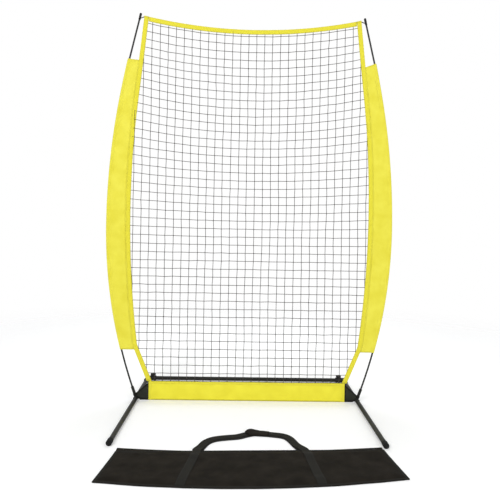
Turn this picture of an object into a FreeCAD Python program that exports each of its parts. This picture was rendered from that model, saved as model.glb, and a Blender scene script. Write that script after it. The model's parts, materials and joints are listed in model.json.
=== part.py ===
"""Free-standing pitching net: two bow poles in a steel floor base, a square-mesh net between them
in yellow fabric, and the empty carry bag that lies in front of it.

Millimetres. +X is to the right seen from the front, +Y goes from the front to the back, +Z is up.
The origin is on the floor, under the middle of the whole set's box.
Pieces that come in pairs are drawn on the right side and mirrored to the left.
"""
import FreeCAD, Part
import math
import os
from types import SimpleNamespace

from FreeCAD import Placement, Rotation, Vector

doc = FreeCAD.newDocument("PitchingNet")
sheet = doc.addObject("Spreadsheet::Sheet", "Sizes")
subparts = {}

# Driving sizes: name, value and what it measures.
DRIVING = [
    ("base_width", 1220, "distance between the two leg axes"),
    ("front_reach", 612, "net plane to the front end of a leg"),
    ("rear_reach", 380, "net plane to the crossbar's axis"),
    ("axis_height", 13.1, "height of the base tubes' axes over the floor"),
    ("tube_dia", 22.2, "outer diameter of the base tubes"),
    ("tube_wall", 1.5, "wall of the base tubes"),
    ("hub_wall", 3, "wall of the corner hub round a tube"),
    ("hub_tube_gap", 16, "crossing of the two tube axes to a tube's end"),
    ("hub_side_arm", 50, "length of the hub's arm on the crossbar"),
    ("hub_front_arm", 58, "length of the hub's arm on the leg"),
    ("hub_rib_width", 6, "width of the rib round each mouth of the hub"),
    ("hub_rib_rise", 1.6, "how far that rib stands out"),
    ("clamp_offset", 32, "leg axis to the clamp knob's axis"),
    ("boss_dia", 22, "diameter of the boss under the clamp knob"),
    ("boss_top", 30, "height of that boss over the floor"),
    ("stud_dia", 8, "clamp stud"),
    ("nut_width", 13, "clamp nut across its flats"),
    ("nut_height", 4.5, "clamp nut"),
    ("thread_gap", 0.05, "running gap of the stud in its nut"),
    ("clear_gap", 0.3, "gap between pieces that move past each other"),
    ("knob_dia", 32, "clamp knob"),
    ("knob_height", 11, "clamp knob"),
    ("knob_lift", 1, "knob's underside over the boss"),
    ("knob_round", 3, "eased top edge of the knob"),
    ("grip_dia", 10, "finger hollows round the knob"),
    ("grip_bite", 2.6, "depth of those hollows"),
    ("button_dia", 6.4, "spring button of a leg"),
    ("button_proud", 2.2, "how far the button stands out of the hub"),
    ("button_offset", 36, "crossbar axis to the button's axis"),
    ("button_head", 9, "flange of the button inside the tube"),
    ("button_travel", 5.2, "how far the button can be pushed in"),
    ("clip_thickness", 0.8, "leaf spring behind the button"),
    ("clip_width", 8, "leaf spring"),
    ("clip_spread", 9.3, "distance between the two leaves of the spring"),
    ("clip_length", 34, "leaf spring"),
    ("cap_dia", 27, "rubber foot cap"),
    ("cap_length", 34, "rubber foot cap"),
    ("cap_end", 4, "end wall of the foot cap"),
    ("cap_round", 3.5, "eased end of the foot cap"),
    ("socket_dia", 16, "outer diameter of the pole socket"),
    ("socket_bore", 10.1, "bore of the pole socket"),
    ("socket_length", 66, "leg axis to the socket's mouth"),
    ("saddle_wall", 2, "saddle plate that carries the socket"),
    ("saddle_length", 44, "saddle plate along the leg"),
    ("pole_dia", 9.5, "solid glass fibre pole"),
    ("bow_width", 1567, "distance between the pole axes where the bow is widest"),
    ("ferrule_height", 966, "height of the widest point, where the pole sections meet"),
    ("upper_bow_radius", 4030, "bend of the upper pole section"),
    ("tip_height", 2134, "top of the pole's tip cap"),
    ("straight_run", 249, "how far below that the pole's straight end starts"),
    ("ferrule_wall", 1.5, "steel sleeve that joins the pole sections"),
    ("ferrule_length", 110, "steel sleeve"),
    ("tip_dia", 13, "tip cap"),
    ("tip_length", 24, "tip cap"),
    ("tip_end", 8, "solid end of the tip cap over the pole"),
    ("edge_gap_top", 82, "net's open edge to the pole's axis, at the sleeve's upper end"),
    ("edge_gap_middle", 125, "the same at the ferrule"),
    ("edge_gap_low", 92, "the same where the edge turns in to the corner"),
    ("net_cell", 96, "spacing of the net's strands"),
    ("twine", 3, "width of a strand"),
    ("net_thickness", 2.4, "thickness of the net"),
    ("net_tuck", 18, "how deep the net's edge lies in its binding"),
    ("least_cell", 14, "smallest side of a cut-off cell that is left open"),
    ("diagonal_height", 307, "height where the side edge turns in to the corner"),
    ("corner_inset", 16, "band's end to the net's open corner"),
    ("hem_drop", 104, "pole tip to the lower edge of the top hem at its middle"),
    ("hem_radius", 2830, "curve of the top hem's lower edge"),
    ("binding_width", 25, "webbing round the net"),
    ("binding_thickness", 4.2, "folded webbing with the net in it"),
    ("gusset_run", 68, "band's end to the leg axis"),
    ("band_top", 106, "top edge of the bottom band"),
    ("band_bottom", 2, "bottom edge of the bottom band"),
    ("sleeve_low", 279, "lower end of the side sleeve"),
    ("sleeve_drop", 262, "pole tip to the upper end of the side sleeve"),
    ("sleeve_thickness", 2, "two layers of the side sleeve's cloth"),
    ("channel_bore", 14, "pole channel of the sleeve"),
    ("channel_wall", 1, "cloth round that channel"),
    ("gusset_thickness", 2.4, "corner gusset"),
    ("loop_wall", 1.4, "webbing loop round the pole socket"),
    ("loop_width", 13, "webbing loop round the pole socket"),
    ("tie_drop", 27, "pole tip to the upper edge of the tie's eye"),
    ("tie_width", 9, "tie that pulls the net's corner to the pole"),
    ("tie_root", 26, "width of the tie at the net's corner"),
    ("tie_wall", 1.5, "tie"),
    ("bag_length", 1165, "carry bag lying flat"),
    ("bag_depth", 314, "carry bag lying flat, front to back"),
    ("bag_gap", 655, "net plane to the middle of the bag's rear edge"),
    ("bag_turn", 2.2, "degrees that the loose bag is turned, its right end back"),
    ("bag_offset", 16, "bag's middle to the right of the net's middle"),
    ("bag_thickness", 10, "empty bag"),
    ("bag_edge_round", 2, "rounding of the bag's long edges"),
    ("strap_width", 38, "handle webbing"),
    ("strap_thickness", 1.6, "handle webbing"),
    ("handle_offset", 14, "handle's middle to the right of the net's middle"),
    ("handle_span", 455, "distance between the handle's two ends"),
    ("handle_top_span", 340, "straight run of the handle at its far side"),
    ("handle_reach", 198, "how far the handle lies behind the bag"),
    ("handle_low", 1.2, "underside of the lower handle over the floor"),
    ("ramp_start", 12, "bag's edge to where the upper handle starts down"),
    ("ramp_end", 46, "bag's edge to where the upper handle lies flat"),
    ("wrap_offset", 55, "grip wrap to the right of the handle's middle"),
    ("wrap_length", 72, "grip wrap round both handles"),
    ("wrap_wall", 1.2, "grip wrap"),
    ("zip_length", 1110, "coil zip on the bag's rear edge"),
    ("zip_height", 3, "zip chain"),
    ("zip_depth", 2.6, "zip chain"),
    ("zip_low", 5, "underside of the zip chain over the floor"),
    ("slider_length", 11, "zip slider"),
    ("slider_wall", 1, "zip slider"),
    ("slider_inset", 16, "zip's end to the slider's middle when it is closed"),
    ("pull_length", 24, "zip pull"),
    ("pull_width", 6, "zip pull"),
    ("pull_thickness", 1.4, "zip pull"),
]

for row, (alias, value, meaning) in enumerate(DRIVING, start=1):
    sheet.set(f"A{row}", meaning)
    sheet.set(f"B{row}", str(value))
    sheet.setAlias(f"B{row}", alias)
doc.recompute()
size = SimpleNamespace(**{alias: float(getattr(sheet, alias)) for alias, _, _ in DRIVING})

# The origin is in the middle between the turned bag's front corner and the back of the hubs.
BAG_FRONT_END = (
    "(Sizes.bag_gap + Sizes.bag_depth / 2 * (1 + cos(Sizes.bag_turn)) + Sizes.bag_length / 2 * sin(Sizes.bag_turn))"
)
REAR_END = "(Sizes.rear_reach + Sizes.tube_dia / 2 + Sizes.hub_wall + Sizes.hub_rib_rise)"
NET_PLANE = f"(({BAG_FRONT_END} - {REAR_END}) / 2)"
turn = math.radians(size.bag_turn)
bag_front_end = size.bag_gap + size.bag_depth / 2 * (1 + math.cos(turn)) + size.bag_length / 2 * math.sin(turn)
rear_end = size.rear_reach + size.tube_dia / 2 + size.hub_wall + size.hub_rib_rise
net_plane = (bag_front_end - rear_end) / 2
LEG_X = "Sizes.base_width / 2"
BAR_Y = f"({NET_PLANE} + Sizes.rear_reach)"
AXIS_Z = "Sizes.axis_height"

TO_X = Rotation(Vector(0, 1, 0), 90)
TO_Y = Rotation(Vector(1, 0, 0), -90)
TO_Z = Rotation()
UPRIGHT = Rotation(Vector(1, 0, 0), 90)


def bind(piece, **expressions):
    """Tie properties of a piece to the sheet."""
    for name, expression in expressions.items():
        piece.setExpression(name, expression)
    return piece


def place(piece, at, turn=TO_Z):
    """Turn a piece, then tie its position to the sheet: one expression for each axis."""
    piece.Placement = Placement(Vector(), turn)
    for letter, expression in zip("xyz", at):
        piece.setExpression(f".Placement.Base.{letter}", expression)
    return piece


def cylinder(name, radius, length, at, turn=TO_Z):
    piece = doc.addObject("Part::Cylinder", name)
    return place(bind(piece, Radius=radius, Height=length), at, turn)


def box(name, length, width, height, at, turn=TO_Z):
    piece = doc.addObject("Part::Box", name)
    return place(bind(piece, Length=length, Width=width, Height=height), at, turn)


def fuse(name, pieces):
    piece = doc.addObject("Part::MultiFuse", name)
    piece.Shapes = pieces
    return piece


def cut(name, base, tool):
    piece = doc.addObject("Part::Cut", name)
    piece.Base = base
    piece.Tool = tool
    return piece


def keep(label, piece):
    """Give a sub-part its label, which also names its file."""
    piece.Label = label
    subparts[label] = piece
    return piece


def mirror_to_left(name):
    """Keep NAME_right's mirror image as NAME_left."""
    piece = doc.addObject("Part::Mirroring", f"{name}_mirror")
    piece.Source = subparts[f"{name}_right"]
    piece.Normal = Vector(1, 0, 0)
    piece.Base = Vector(0, 0, 0)
    return keep(f"{name}_left", piece)


def shaped(label, shape):
    """A sub-part whose outline comes from the curves below."""
    piece = doc.addObject("Part::Feature", label)
    piece.Shape = shape
    piece.Placement = Placement(Vector(0, net_plane, 0), Rotation()).multiply(shape.Placement)
    return keep(label, piece)


def origin_plane(body, role):
    return next(plane for plane in body.Origin.OriginFeatures if plane.Role == role)


def new_sketch(body, name, role):
    sketch = body.newObject("Sketcher::SketchObject", name)
    sketch.AttachmentSupport = [(origin_plane(body, role), "")]
    sketch.MapMode = "FlatFace"
    return sketch


def lathe(name, profile):
    """Body turned about its own Z axis from a closed profile of (radius, height) points and arcs."""
    body = doc.addObject("PartDesign::Body", name)
    sketch = new_sketch(body, f"{name}_profile", "XZ_Plane")
    for edge in profile:
        sketch.addGeometry(edge, False)
    turning = body.newObject("PartDesign::Revolution", f"{name}_turning")
    turning.Profile = sketch
    turning.ReferenceAxis = (origin_axis(body, "Z_Axis"), [""])
    turning.Angle = 360
    body.Tip = turning
    return body


def origin_axis(body, role):
    return next(axis for axis in body.Origin.OriginFeatures if axis.Role == role)


def corner_line(start, end):
    return Part.LineSegment(Vector(start[0], start[1], 0), Vector(end[0], end[1], 0))


def eased_corner(outer, high, ease):
    """Outer top corner of a profile, broken by two bevels."""
    middle = (outer - 0.3 * ease, high - 0.3 * ease)
    return [corner_line((outer, high - ease), middle), corner_line(middle, (outer - ease, high))]


def eased_profile(inner, outer, low, high, ease):
    """Ring profile whose outer top corner is eased."""
    return [
        corner_line((inner, low), (outer, low)),
        corner_line((outer, low), (outer, high - ease)),
        *eased_corner(outer, high, ease),
        corner_line((outer - ease, high), (inner, high)),
        corner_line((inner, high), (inner, low)),
    ]


# Base tubes

TUBE_R = "Sizes.tube_dia / 2"
TUBE_BORE_R = "(Sizes.tube_dia / 2 - Sizes.tube_wall)"


def make_crossbar():
    half = f"({LEG_X} - Sizes.hub_tube_gap)"
    length = f"2 * {half}"
    start = (f"-{half}", BAR_Y, AXIS_Z)
    outside = cylinder("crossbar_outside", TUBE_R, length, start, TO_X)
    inside = cylinder("crossbar_inside", TUBE_BORE_R, length, start, TO_X)
    keep("rear_crossbar", cut("crossbar", outside, inside))


def button_hole(name):
    """Hole through the hub's outer wall and the tube's outer wall, for the spring button."""
    at = (LEG_X, f"{BAR_Y} - Sizes.button_offset", AXIS_Z)
    reach = "Sizes.tube_dia / 2 + Sizes.hub_wall + 5"
    return cylinder(name, "Sizes.button_dia / 2 + Sizes.clear_gap", reach, at, TO_X)


def make_leg():
    length = "Sizes.front_reach + Sizes.rear_reach - Sizes.hub_tube_gap - Sizes.cap_end"
    start = (LEG_X, f"{NET_PLANE} - Sizes.front_reach + Sizes.cap_end", AXIS_Z)
    outside = cylinder("leg_outside", TUBE_R, length, start, TO_Y)
    inside = cylinder("leg_inside", TUBE_BORE_R, length, start, TO_Y)
    tube = cut("leg_tube", outside, inside)
    keep("leg_right", cut("leg", tube, button_hole("leg_button_hole")))
    mirror_to_left("leg")


def make_foot_cap():
    tube_r = size.tube_dia / 2
    cap_r = size.cap_dia / 2
    cup_depth = size.cap_length - size.cap_end
    wall = corner_line((tube_r, 0), (cap_r, 0))
    profile = [
        wall,
        corner_line((cap_r, 0), (cap_r, size.cap_length - size.cap_round)),
        *eased_corner(cap_r, size.cap_length, size.cap_round),
        corner_line((cap_r - size.cap_round, size.cap_length), (0, size.cap_length)),
        corner_line((0, size.cap_length), (0, cup_depth)),
        corner_line((0, cup_depth), (tube_r, cup_depth)),
        corner_line((tube_r, cup_depth), (tube_r, 0)),
    ]
    cup = lathe("cap_cup", profile)
    mouth = (LEG_X, f"{NET_PLANE} - Sizes.front_reach + Sizes.cap_length", AXIS_Z)
    place(cup, mouth, UPRIGHT)
    low_side = box(
        "cap_flat",
        "2 * Sizes.cap_dia",
        "2 * Sizes.cap_length",
        "Sizes.cap_dia",
        (f"{LEG_X} - Sizes.cap_dia", f"{NET_PLANE} - Sizes.front_reach - Sizes.cap_length / 2", "-Sizes.cap_dia"),
    )
    keep("foot_cap_right", cut("foot_cap", cup, low_side))
    mirror_to_left("foot_cap")


# Corner hubs with their clamp and spring button

HUB_R = "(Sizes.tube_dia / 2 + Sizes.hub_wall)"
CLAMP_X = f"({LEG_X} - Sizes.clamp_offset)"


def make_hub():
    corner = (LEG_X, BAR_Y, AXIS_Z)
    rib_r = f"{HUB_R} + Sizes.hub_rib_rise"
    side_mouth = f"{LEG_X} - Sizes.hub_side_arm"
    front_mouth = f"{BAR_Y} - Sizes.hub_front_arm"
    elbow = place(bind(doc.addObject("Part::Sphere", "hub_elbow"), Radius=HUB_R), corner)
    solids = [
        elbow,
        cylinder("hub_side", HUB_R, "Sizes.hub_side_arm", (side_mouth, BAR_Y, AXIS_Z), TO_X),
        cylinder("hub_front", HUB_R, "Sizes.hub_front_arm", (LEG_X, front_mouth, AXIS_Z), TO_Y),
        cylinder("hub_side_rib", rib_r, "Sizes.hub_rib_width", (side_mouth, BAR_Y, AXIS_Z), TO_X),
        cylinder("hub_front_rib", rib_r, "Sizes.hub_rib_width", (LEG_X, front_mouth, AXIS_Z), TO_Y),
        cylinder("hub_boss", "Sizes.boss_dia / 2", "Sizes.boss_top - Sizes.axis_height", (CLAMP_X, BAR_Y, AXIS_Z)),
    ]
    side_bore = cylinder(
        "hub_side_bore",
        TUBE_R,
        "Sizes.hub_side_arm - Sizes.hub_tube_gap",
        (side_mouth, BAR_Y, AXIS_Z),
        TO_X,
    )
    front_bore = cylinder(
        "hub_front_bore",
        TUBE_R,
        "Sizes.hub_front_arm - Sizes.hub_tube_gap",
        (LEG_X, front_mouth, AXIS_Z),
        TO_Y,
    )
    stud_hole = cylinder(
        "hub_stud_hole",
        "Sizes.stud_dia / 2 + Sizes.clear_gap",
        "Sizes.boss_top",
        (CLAMP_X, BAR_Y, AXIS_Z),
    )
    nut_seat = nut_prism("hub_nut_seat")
    floor_cut = box(
        "hub_floor_cut",
        "2 * Sizes.hub_side_arm + 20",
        "2 * Sizes.hub_front_arm + 20",
        "Sizes.hub_front_arm",
        (f"{side_mouth} - 10", f"{front_mouth} - 10", "-Sizes.hub_front_arm"),
    )
    hollows = fuse(
        "hub_hollows",
        [side_bore, front_bore, stud_hole, nut_seat, button_hole("hub_button_hole"), floor_cut],
    )
    keep("corner_hub_right", cut("corner_hub", fuse("hub_body", solids), hollows))
    mirror_to_left("corner_hub")


def nut_prism(name):
    """Hexagon of the clamp nut, flush with the top of its boss."""
    prism = doc.addObject("Part::Prism", name)
    prism.Polygon = 6
    bind(prism, Circumradius="Sizes.nut_width / 2 / cos(30)", Height="Sizes.nut_height")
    return place(prism, (CLAMP_X, BAR_Y, "Sizes.boss_top - Sizes.nut_height"))


def make_clamp():
    thread = cylinder(
        "nut_thread",
        "Sizes.stud_dia / 2 + Sizes.thread_gap",
        "Sizes.nut_height",
        (CLAMP_X, BAR_Y, "Sizes.boss_top - Sizes.nut_height"),
    )
    keep("clamp_nut_right", cut("clamp_nut", nut_prism("nut_hexagon"), thread))
    mirror_to_left("clamp_nut")

    stud_low = "(Sizes.axis_height + Sizes.tube_dia / 2 + Sizes.clear_gap)"
    stud_high = "(Sizes.boss_top + Sizes.knob_lift + Sizes.knob_height * 0.6)"
    stud = cylinder("stud", "Sizes.stud_dia / 2", f"{stud_high} - {stud_low}", (CLAMP_X, BAR_Y, stud_low))
    keep("clamp_stud_right", stud)
    mirror_to_left("clamp_stud")

    knob_r = size.knob_dia / 2
    body = lathe("knob_body", eased_profile(0, knob_r, 0, size.knob_height, size.knob_round))
    hollow = new_sketch(body, "knob_hollow", "XY_Plane")
    grip_r = size.grip_dia / 2
    hollow_x = knob_r + grip_r - size.grip_bite
    hollow.addGeometry(Part.Circle(Vector(hollow_x, 0, 0), Vector(0, 0, 1), grip_r), False)
    pocket = body.newObject("PartDesign::Pocket", "knob_pocket")
    pocket.Profile = hollow
    pocket.Type = "ThroughAll"
    pocket.Reversed = True
    ring = body.newObject("PartDesign::PolarPattern", "knob_ring")
    ring.Originals = [pocket]
    ring.Axis = (origin_axis(body, "Z_Axis"), [""])
    ring.Angle = 360
    ring.Occurrences = 6
    body.Tip = ring
    knob_low = "(Sizes.boss_top + Sizes.knob_lift)"
    place(body, (CLAMP_X, BAR_Y, knob_low))
    stud_seat = cylinder("knob_seat", "Sizes.stud_dia / 2", f"{stud_high} - {knob_low}", (CLAMP_X, BAR_Y, knob_low))
    keep("clamp_knob_right", cut("clamp_knob", body, stud_seat))
    mirror_to_left("clamp_knob")


def make_button():
    """Spring button of a leg: a domed pin with a flange inside the tube, on a bent leaf spring."""
    pin_r = size.button_dia / 2
    head_r = size.button_head / 2
    head_height = 1.2
    bore_r = size.tube_dia / 2 - size.tube_wall
    head_low = math.sqrt(bore_r**2 - head_r**2) - head_height - size.clear_gap
    top = size.tube_dia / 2 + size.hub_wall + size.button_proud
    head_high = head_low + head_height
    dome = pin_r * 0.7
    profile = [
        corner_line((0, head_low), (head_r, head_low)),
        corner_line((head_r, head_low), (head_r, head_high)),
        corner_line((head_r, head_high), (pin_r, head_high)),
        corner_line((pin_r, head_high), (pin_r, top - dome)),
        *eased_corner(pin_r, top, dome),
        corner_line((pin_r - dome, top), (0, top)),
        corner_line((0, top), (0, head_low)),
    ]
    button_y = f"{BAR_Y} - Sizes.button_offset"
    body = lathe("button_pin", profile)
    place(body, (LEG_X, button_y, AXIS_Z), TO_X)
    keep("snap_button_right", body)
    mirror_to_left("snap_button")

    leaf_x = f"{LEG_X} + {head_low:.4f} - Sizes.clip_thickness"
    leaf_y = f"{button_y} - Sizes.clip_length + Sizes.button_head / 2"
    leaf_z = "Sizes.axis_height - Sizes.clip_width / 2"
    far_x = f"{leaf_x} - Sizes.clip_spread"
    leaf = ("Sizes.clip_thickness", "Sizes.clip_length", "Sizes.clip_width")
    near_leaf = box("clip_near", *leaf, (leaf_x, leaf_y, leaf_z))
    far_leaf = box("clip_far", *leaf, (far_x, leaf_y, leaf_z))
    bend = box(
        "clip_bend", "Sizes.clip_spread", "Sizes.clip_thickness", "Sizes.clip_width", (far_x, leaf_y, leaf_z)
    )
    keep("snap_spring_right", fuse("snap_spring", [near_leaf, far_leaf, bend]))
    mirror_to_left("snap_spring")


# Bow poles: the lower section bends from its socket to the widest point, the upper one bends back
# more gently and ends straight.

bow_x = size.bow_width / 2
leg_x = size.base_width / 2
lower_rise = size.ferrule_height - size.axis_height
lower_sag = bow_x - leg_x
lower_radius = (lower_rise**2 + lower_sag**2) / (2 * lower_sag)
lower_angle = math.asin(lower_rise / lower_radius)
straight_height = size.tip_height - size.straight_run
upper_angle = math.asin((straight_height - size.ferrule_height) / size.upper_bow_radius)
lower_centre = Vector(bow_x - lower_radius, 0, size.ferrule_height)
upper_centre = Vector(bow_x - size.upper_bow_radius, 0, size.ferrule_height)
socket_angle = lower_angle - size.socket_length / 2 / lower_radius
socket_way = Vector(math.sin(socket_angle), 0, math.cos(socket_angle))
tip_way = Vector(-math.sin(upper_angle), 0, math.cos(upper_angle))
straight_start = upper_centre + Vector(math.cos(upper_angle), 0, math.sin(upper_angle)) * size.upper_bow_radius
straight_length = size.straight_run / math.cos(upper_angle)
tip_point = straight_start + tip_way * straight_length

LOWER_RISE = "(Sizes.ferrule_height - Sizes.axis_height)"
LOWER_SAG = "((Sizes.bow_width - Sizes.base_width) / 2)"
LOWER_RADIUS = f"(({LOWER_RISE}^2 + {LOWER_SAG}^2) / (2 * {LOWER_SAG}))"
UPPER_RISE = "(Sizes.tip_height - Sizes.straight_run - Sizes.ferrule_height)"


def bow_sector(name, bend, thickness, sweep, centre, start_degrees):
    """Part of a torus that lies in the net's plane and starts at an angle over the horizontal."""
    sector = doc.addObject("Part::Torus", name)
    bind(sector, Radius1=bend, Radius2=thickness, Angle3=sweep)
    turn = UPRIGHT.multiply(Rotation(Vector(0, 0, 1), start_degrees))
    sector.Placement = Placement(Vector(centre.x, net_plane, centre.z), turn)
    return sector


def make_poles():
    pole_r = "Sizes.pole_dia / 2"
    start_angle = lower_angle - math.asin(size.tube_dia / 2 / lower_radius)
    lower_sweep = f"asin({LOWER_RISE} / {LOWER_RADIUS}) - asin(Sizes.tube_dia / 2 / {LOWER_RADIUS})"
    lower = bow_sector(
        "lower_bow", LOWER_RADIUS, pole_r, lower_sweep, lower_centre, -math.degrees(start_angle)
    )
    keep("pole_lower_right", lower)
    mirror_to_left("pole_lower")

    upper_sweep = f"asin({UPPER_RISE} / Sizes.upper_bow_radius)"
    bow = bow_sector("upper_bow", "Sizes.upper_bow_radius", pole_r, upper_sweep, upper_centre, 0)
    end = doc.addObject("Part::Cylinder", "upper_end")
    straight = f"Sizes.straight_run / cos({upper_sweep}) - Sizes.tip_end"
    bind(end, Radius=pole_r, Height=straight)
    lean = Rotation(Vector(0, 1, 0), -math.degrees(upper_angle))
    end.Placement = Placement(straight_start + Vector(0, net_plane, 0), lean)
    keep("pole_upper_right", fuse("pole_upper", [bow, end]))
    mirror_to_left("pole_upper")

    half = size.ferrule_length / 2
    outer_r = "Sizes.pole_dia / 2 + Sizes.ferrule_wall"
    below = bow_sector(
        "ferrule_below",
        LOWER_RADIUS,
        outer_r,
        f"asin(Sizes.ferrule_length / 2 / {LOWER_RADIUS})",
        lower_centre,
        -math.degrees(math.asin(half / lower_radius)),
    )
    above = bow_sector(
        "ferrule_above",
        "Sizes.upper_bow_radius",
        outer_r,
        "asin(Sizes.ferrule_length / 2 / Sizes.upper_bow_radius)",
        upper_centre,
        0,
    )
    whole = fuse("ferrule_whole", [below, above])
    bored = cut("ferrule_bored", whole, lower)
    keep("pole_ferrule_right", cut("pole_ferrule", bored, subparts["pole_upper_right"]))
    mirror_to_left("pole_ferrule")


def make_tip_cap():
    pole_r = size.pole_dia / 2
    cap_r = size.tip_dia / 2
    cup = size.tip_length - size.tip_end
    dome = cap_r * 0.7
    profile = [
        corner_line((pole_r, 0), (cap_r, 0)),
        corner_line((cap_r, 0), (cap_r, size.tip_length - dome)),
        *eased_corner(cap_r, size.tip_length, dome),
        corner_line((cap_r - dome, size.tip_length), (0, size.tip_length)),
        corner_line((0, size.tip_length), (0, cup)),
        corner_line((0, cup), (pole_r, cup)),
        corner_line((pole_r, cup), (pole_r, 0)),
    ]
    body = lathe("tip_cup", profile)
    low_end = tip_point - tip_way * size.tip_length
    lean = Rotation(Vector(0, 1, 0), -math.degrees(upper_angle))
    body.Placement = Placement(low_end + Vector(0, net_plane, 0), lean)
    keep("pole_tip_right", body)
    mirror_to_left("pole_tip")


def along(start, way, distance, radius):
    """Round bar from a start point along a direction in the net's plane."""
    return Part.makeCylinder(radius, distance, start, way)


def make_socket():
    """Tube welded to a saddle plate on the leg, aimed along the bent pole."""
    foot = Vector(leg_x, 0, size.axis_height)
    tube_r = size.tube_dia / 2
    saddle_r = tube_r + size.saddle_wall
    half = size.saddle_length / 2
    leg_bar = Part.makeCylinder(tube_r, 2 * size.saddle_length, foot - Vector(0, size.saddle_length, 0), Vector(0, 1, 0))
    saddle = Part.makeCylinder(saddle_r, size.saddle_length, foot - Vector(0, half, 0), Vector(0, 1, 0))
    under = Part.makeBox(
        4 * saddle_r, 2 * size.saddle_length, 2 * saddle_r,
        foot - Vector(2 * saddle_r, size.saddle_length, 2 * saddle_r),
    )
    tube = along(foot, socket_way, size.socket_length, size.socket_dia / 2)
    bore = along(foot, socket_way, size.socket_length, size.socket_bore / 2)
    solid = saddle.cut(under).fuse(tube).cut(leg_bar).cut(bore)
    shaped("pole_socket_right", solid.removeSplitter())
    mirror_to_left("pole_socket")


# Net, bindings and band: outlines in the net's plane, drawn with x and z

sleeve_high = size.tip_height - size.sleeve_drop
hem_low = size.tip_height - size.hem_drop
hem_centre_z = hem_low + size.hem_radius


def bow_curve_x(height):
    """The pole's axis at a height, on its bent part."""
    if height < size.ferrule_height:
        return lower_centre.x + math.sqrt(lower_radius**2 - (size.ferrule_height - height) ** 2)
    return upper_centre.x + math.sqrt(size.upper_bow_radius**2 - (height - size.ferrule_height) ** 2)


def edge_circle():
    """Circle through three points of the net's side edge: its middle (x, z) and radius."""
    places = [
        (size.diagonal_height, size.edge_gap_low),
        (size.ferrule_height, size.edge_gap_middle),
        (sleeve_high, size.edge_gap_top),
    ]
    circle = Part.Circle(*[Vector(bow_curve_x(height) - gap, 0, height) for height, gap in places])
    return circle.Center.x, circle.Center.z, circle.Radius


edge_middle_x, edge_middle_z, edge_radius = edge_circle()


def side_x(height, out):
    """The net's right edge at a height, moved outwards."""
    return edge_middle_x + math.sqrt((edge_radius + out) ** 2 - (height - edge_middle_z) ** 2)


def hem_z(x, up):
    """The top hem's lower edge at x, moved up."""
    return hem_centre_z - math.sqrt((size.hem_radius - up) ** 2 - x**2)


def top_corner(out, up):
    """Where the side edge meets the hem, both moved outwards."""
    height = hem_low
    for _ in range(40):
        height = hem_z(side_x(height, out), up)
    return (side_x(height, out), height)


band_half = size.base_width / 2 - size.gusset_run
corner_x = band_half - size.corner_inset
kink = (side_x(size.diagonal_height, 0), size.diagonal_height)
diagonal_run = math.hypot(kink[0] - corner_x, kink[1] - size.band_top)
diagonal_slope = (kink[0] - corner_x) / (kink[1] - size.band_top)
outward_x = (kink[1] - size.band_top) / diagonal_run


def diagonal_x(height, out):
    """The edge that runs in to the bottom corner, moved outwards."""
    return corner_x + (height - size.band_top) * diagonal_slope + out / outward_x


def kink_point(out):
    """Where the side curve turns into the diagonal, both moved outwards."""
    low, high = size.band_top, edge_middle_z
    for _ in range(60):
        middle = (low + high) / 2
        if diagonal_x(middle, out) < side_x(middle, out):
            low = middle
        else:
            high = middle
    return (side_x(low, out), low)


def flat(point):
    return Vector(point[0], 0, point[1])


def straight(start, end):
    return Part.makeLine(flat(start), flat(end))


def bent(start, middle, end):
    return Part.Arc(flat(start), flat(middle), flat(end)).toShape()


def side_arc(low, high, out):
    """Side edge between two heights, moved outwards."""
    middle = (low + high) / 2
    ends = [(side_x(height, out), height) for height in (low, middle, high)]
    return bent(*ends)


def hem_arc(left, right, up):
    """Hem edge between two places, moved up."""
    middle = (left + right) / 2
    return bent(*[(x, hem_z(x, up)) for x in (left, middle, right)])


def mirrored(edges):
    return [edge.mirror(Vector(), Vector(1, 0, 0)) for edge in edges]


def face_of(edges):
    return Part.Face(Part.Wire(Part.__sortEdges__(edges)))


def thick(face, thickness):
    """Sheet of a thickness, half on each side of the net's plane."""
    sheet_solid = face.extrude(Vector(0, thickness, 0))
    sheet_solid.translate(Vector(0, -thickness / 2, 0))
    return sheet_solid


def net_outline(out, bottom):
    """The net's outline moved outwards, down to a bottom line."""
    top = top_corner(out, out)
    turn = kink_point(out)
    foot = (diagonal_x(bottom, out), bottom)
    right = [straight(foot, turn), side_arc(turn[1], top[1], out)]
    across = [straight((-foot[0], bottom), foot), hem_arc(-top[0], top[0], out)]
    return face_of(right + mirrored(right) + across)


def cell_holes(opening):
    """Openings of the net: square cells, cut off where the outline crosses them."""
    span = opening.BoundBox
    half_gap = (size.net_cell - size.twine) / 2
    columns = math.ceil(span.XMax / size.net_cell + 0.5)
    rows = math.ceil(span.ZLength / size.net_cell)
    wires = []
    for column in range(-columns, columns + 1):
        for row in range(rows):
            middle_x = (column + 0.5) * size.net_cell
            middle_z = size.band_top + (row + 0.5) * size.net_cell
            cell = face_of(rectangle(middle_x - half_gap, middle_x + half_gap, middle_z - half_gap, middle_z + half_gap))
            for piece in cell.common(opening).Faces:
                room = piece.BoundBox
                if min(room.XLength, room.ZLength) > size.least_cell:
                    wires.append(piece.OuterWire)
    return wires


def rectangle(left, right, low, high):
    corners = [(left, low), (right, low), (right, high), (left, high)]
    return [straight(corners[i], corners[(i + 1) % 4]) for i in range(4)]


def make_net():
    opening = net_outline(0, size.band_top)
    outline = net_outline(size.net_tuck, size.band_top - size.net_tuck)
    holes = cell_holes(opening)
    print("gaps in the net:", len(holes))
    holed = Part.Face([outline.OuterWire] + holes)
    holed.validate()
    shaped("net_mesh", thick(holed, size.net_thickness))


def folded(face):
    """Webbing or cloth folded round the net's edge."""
    edge_of_net = net_outline(size.net_tuck, size.band_top - size.net_tuck)
    return thick(face, size.binding_thickness).cut(thick(edge_of_net, size.net_thickness))


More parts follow.
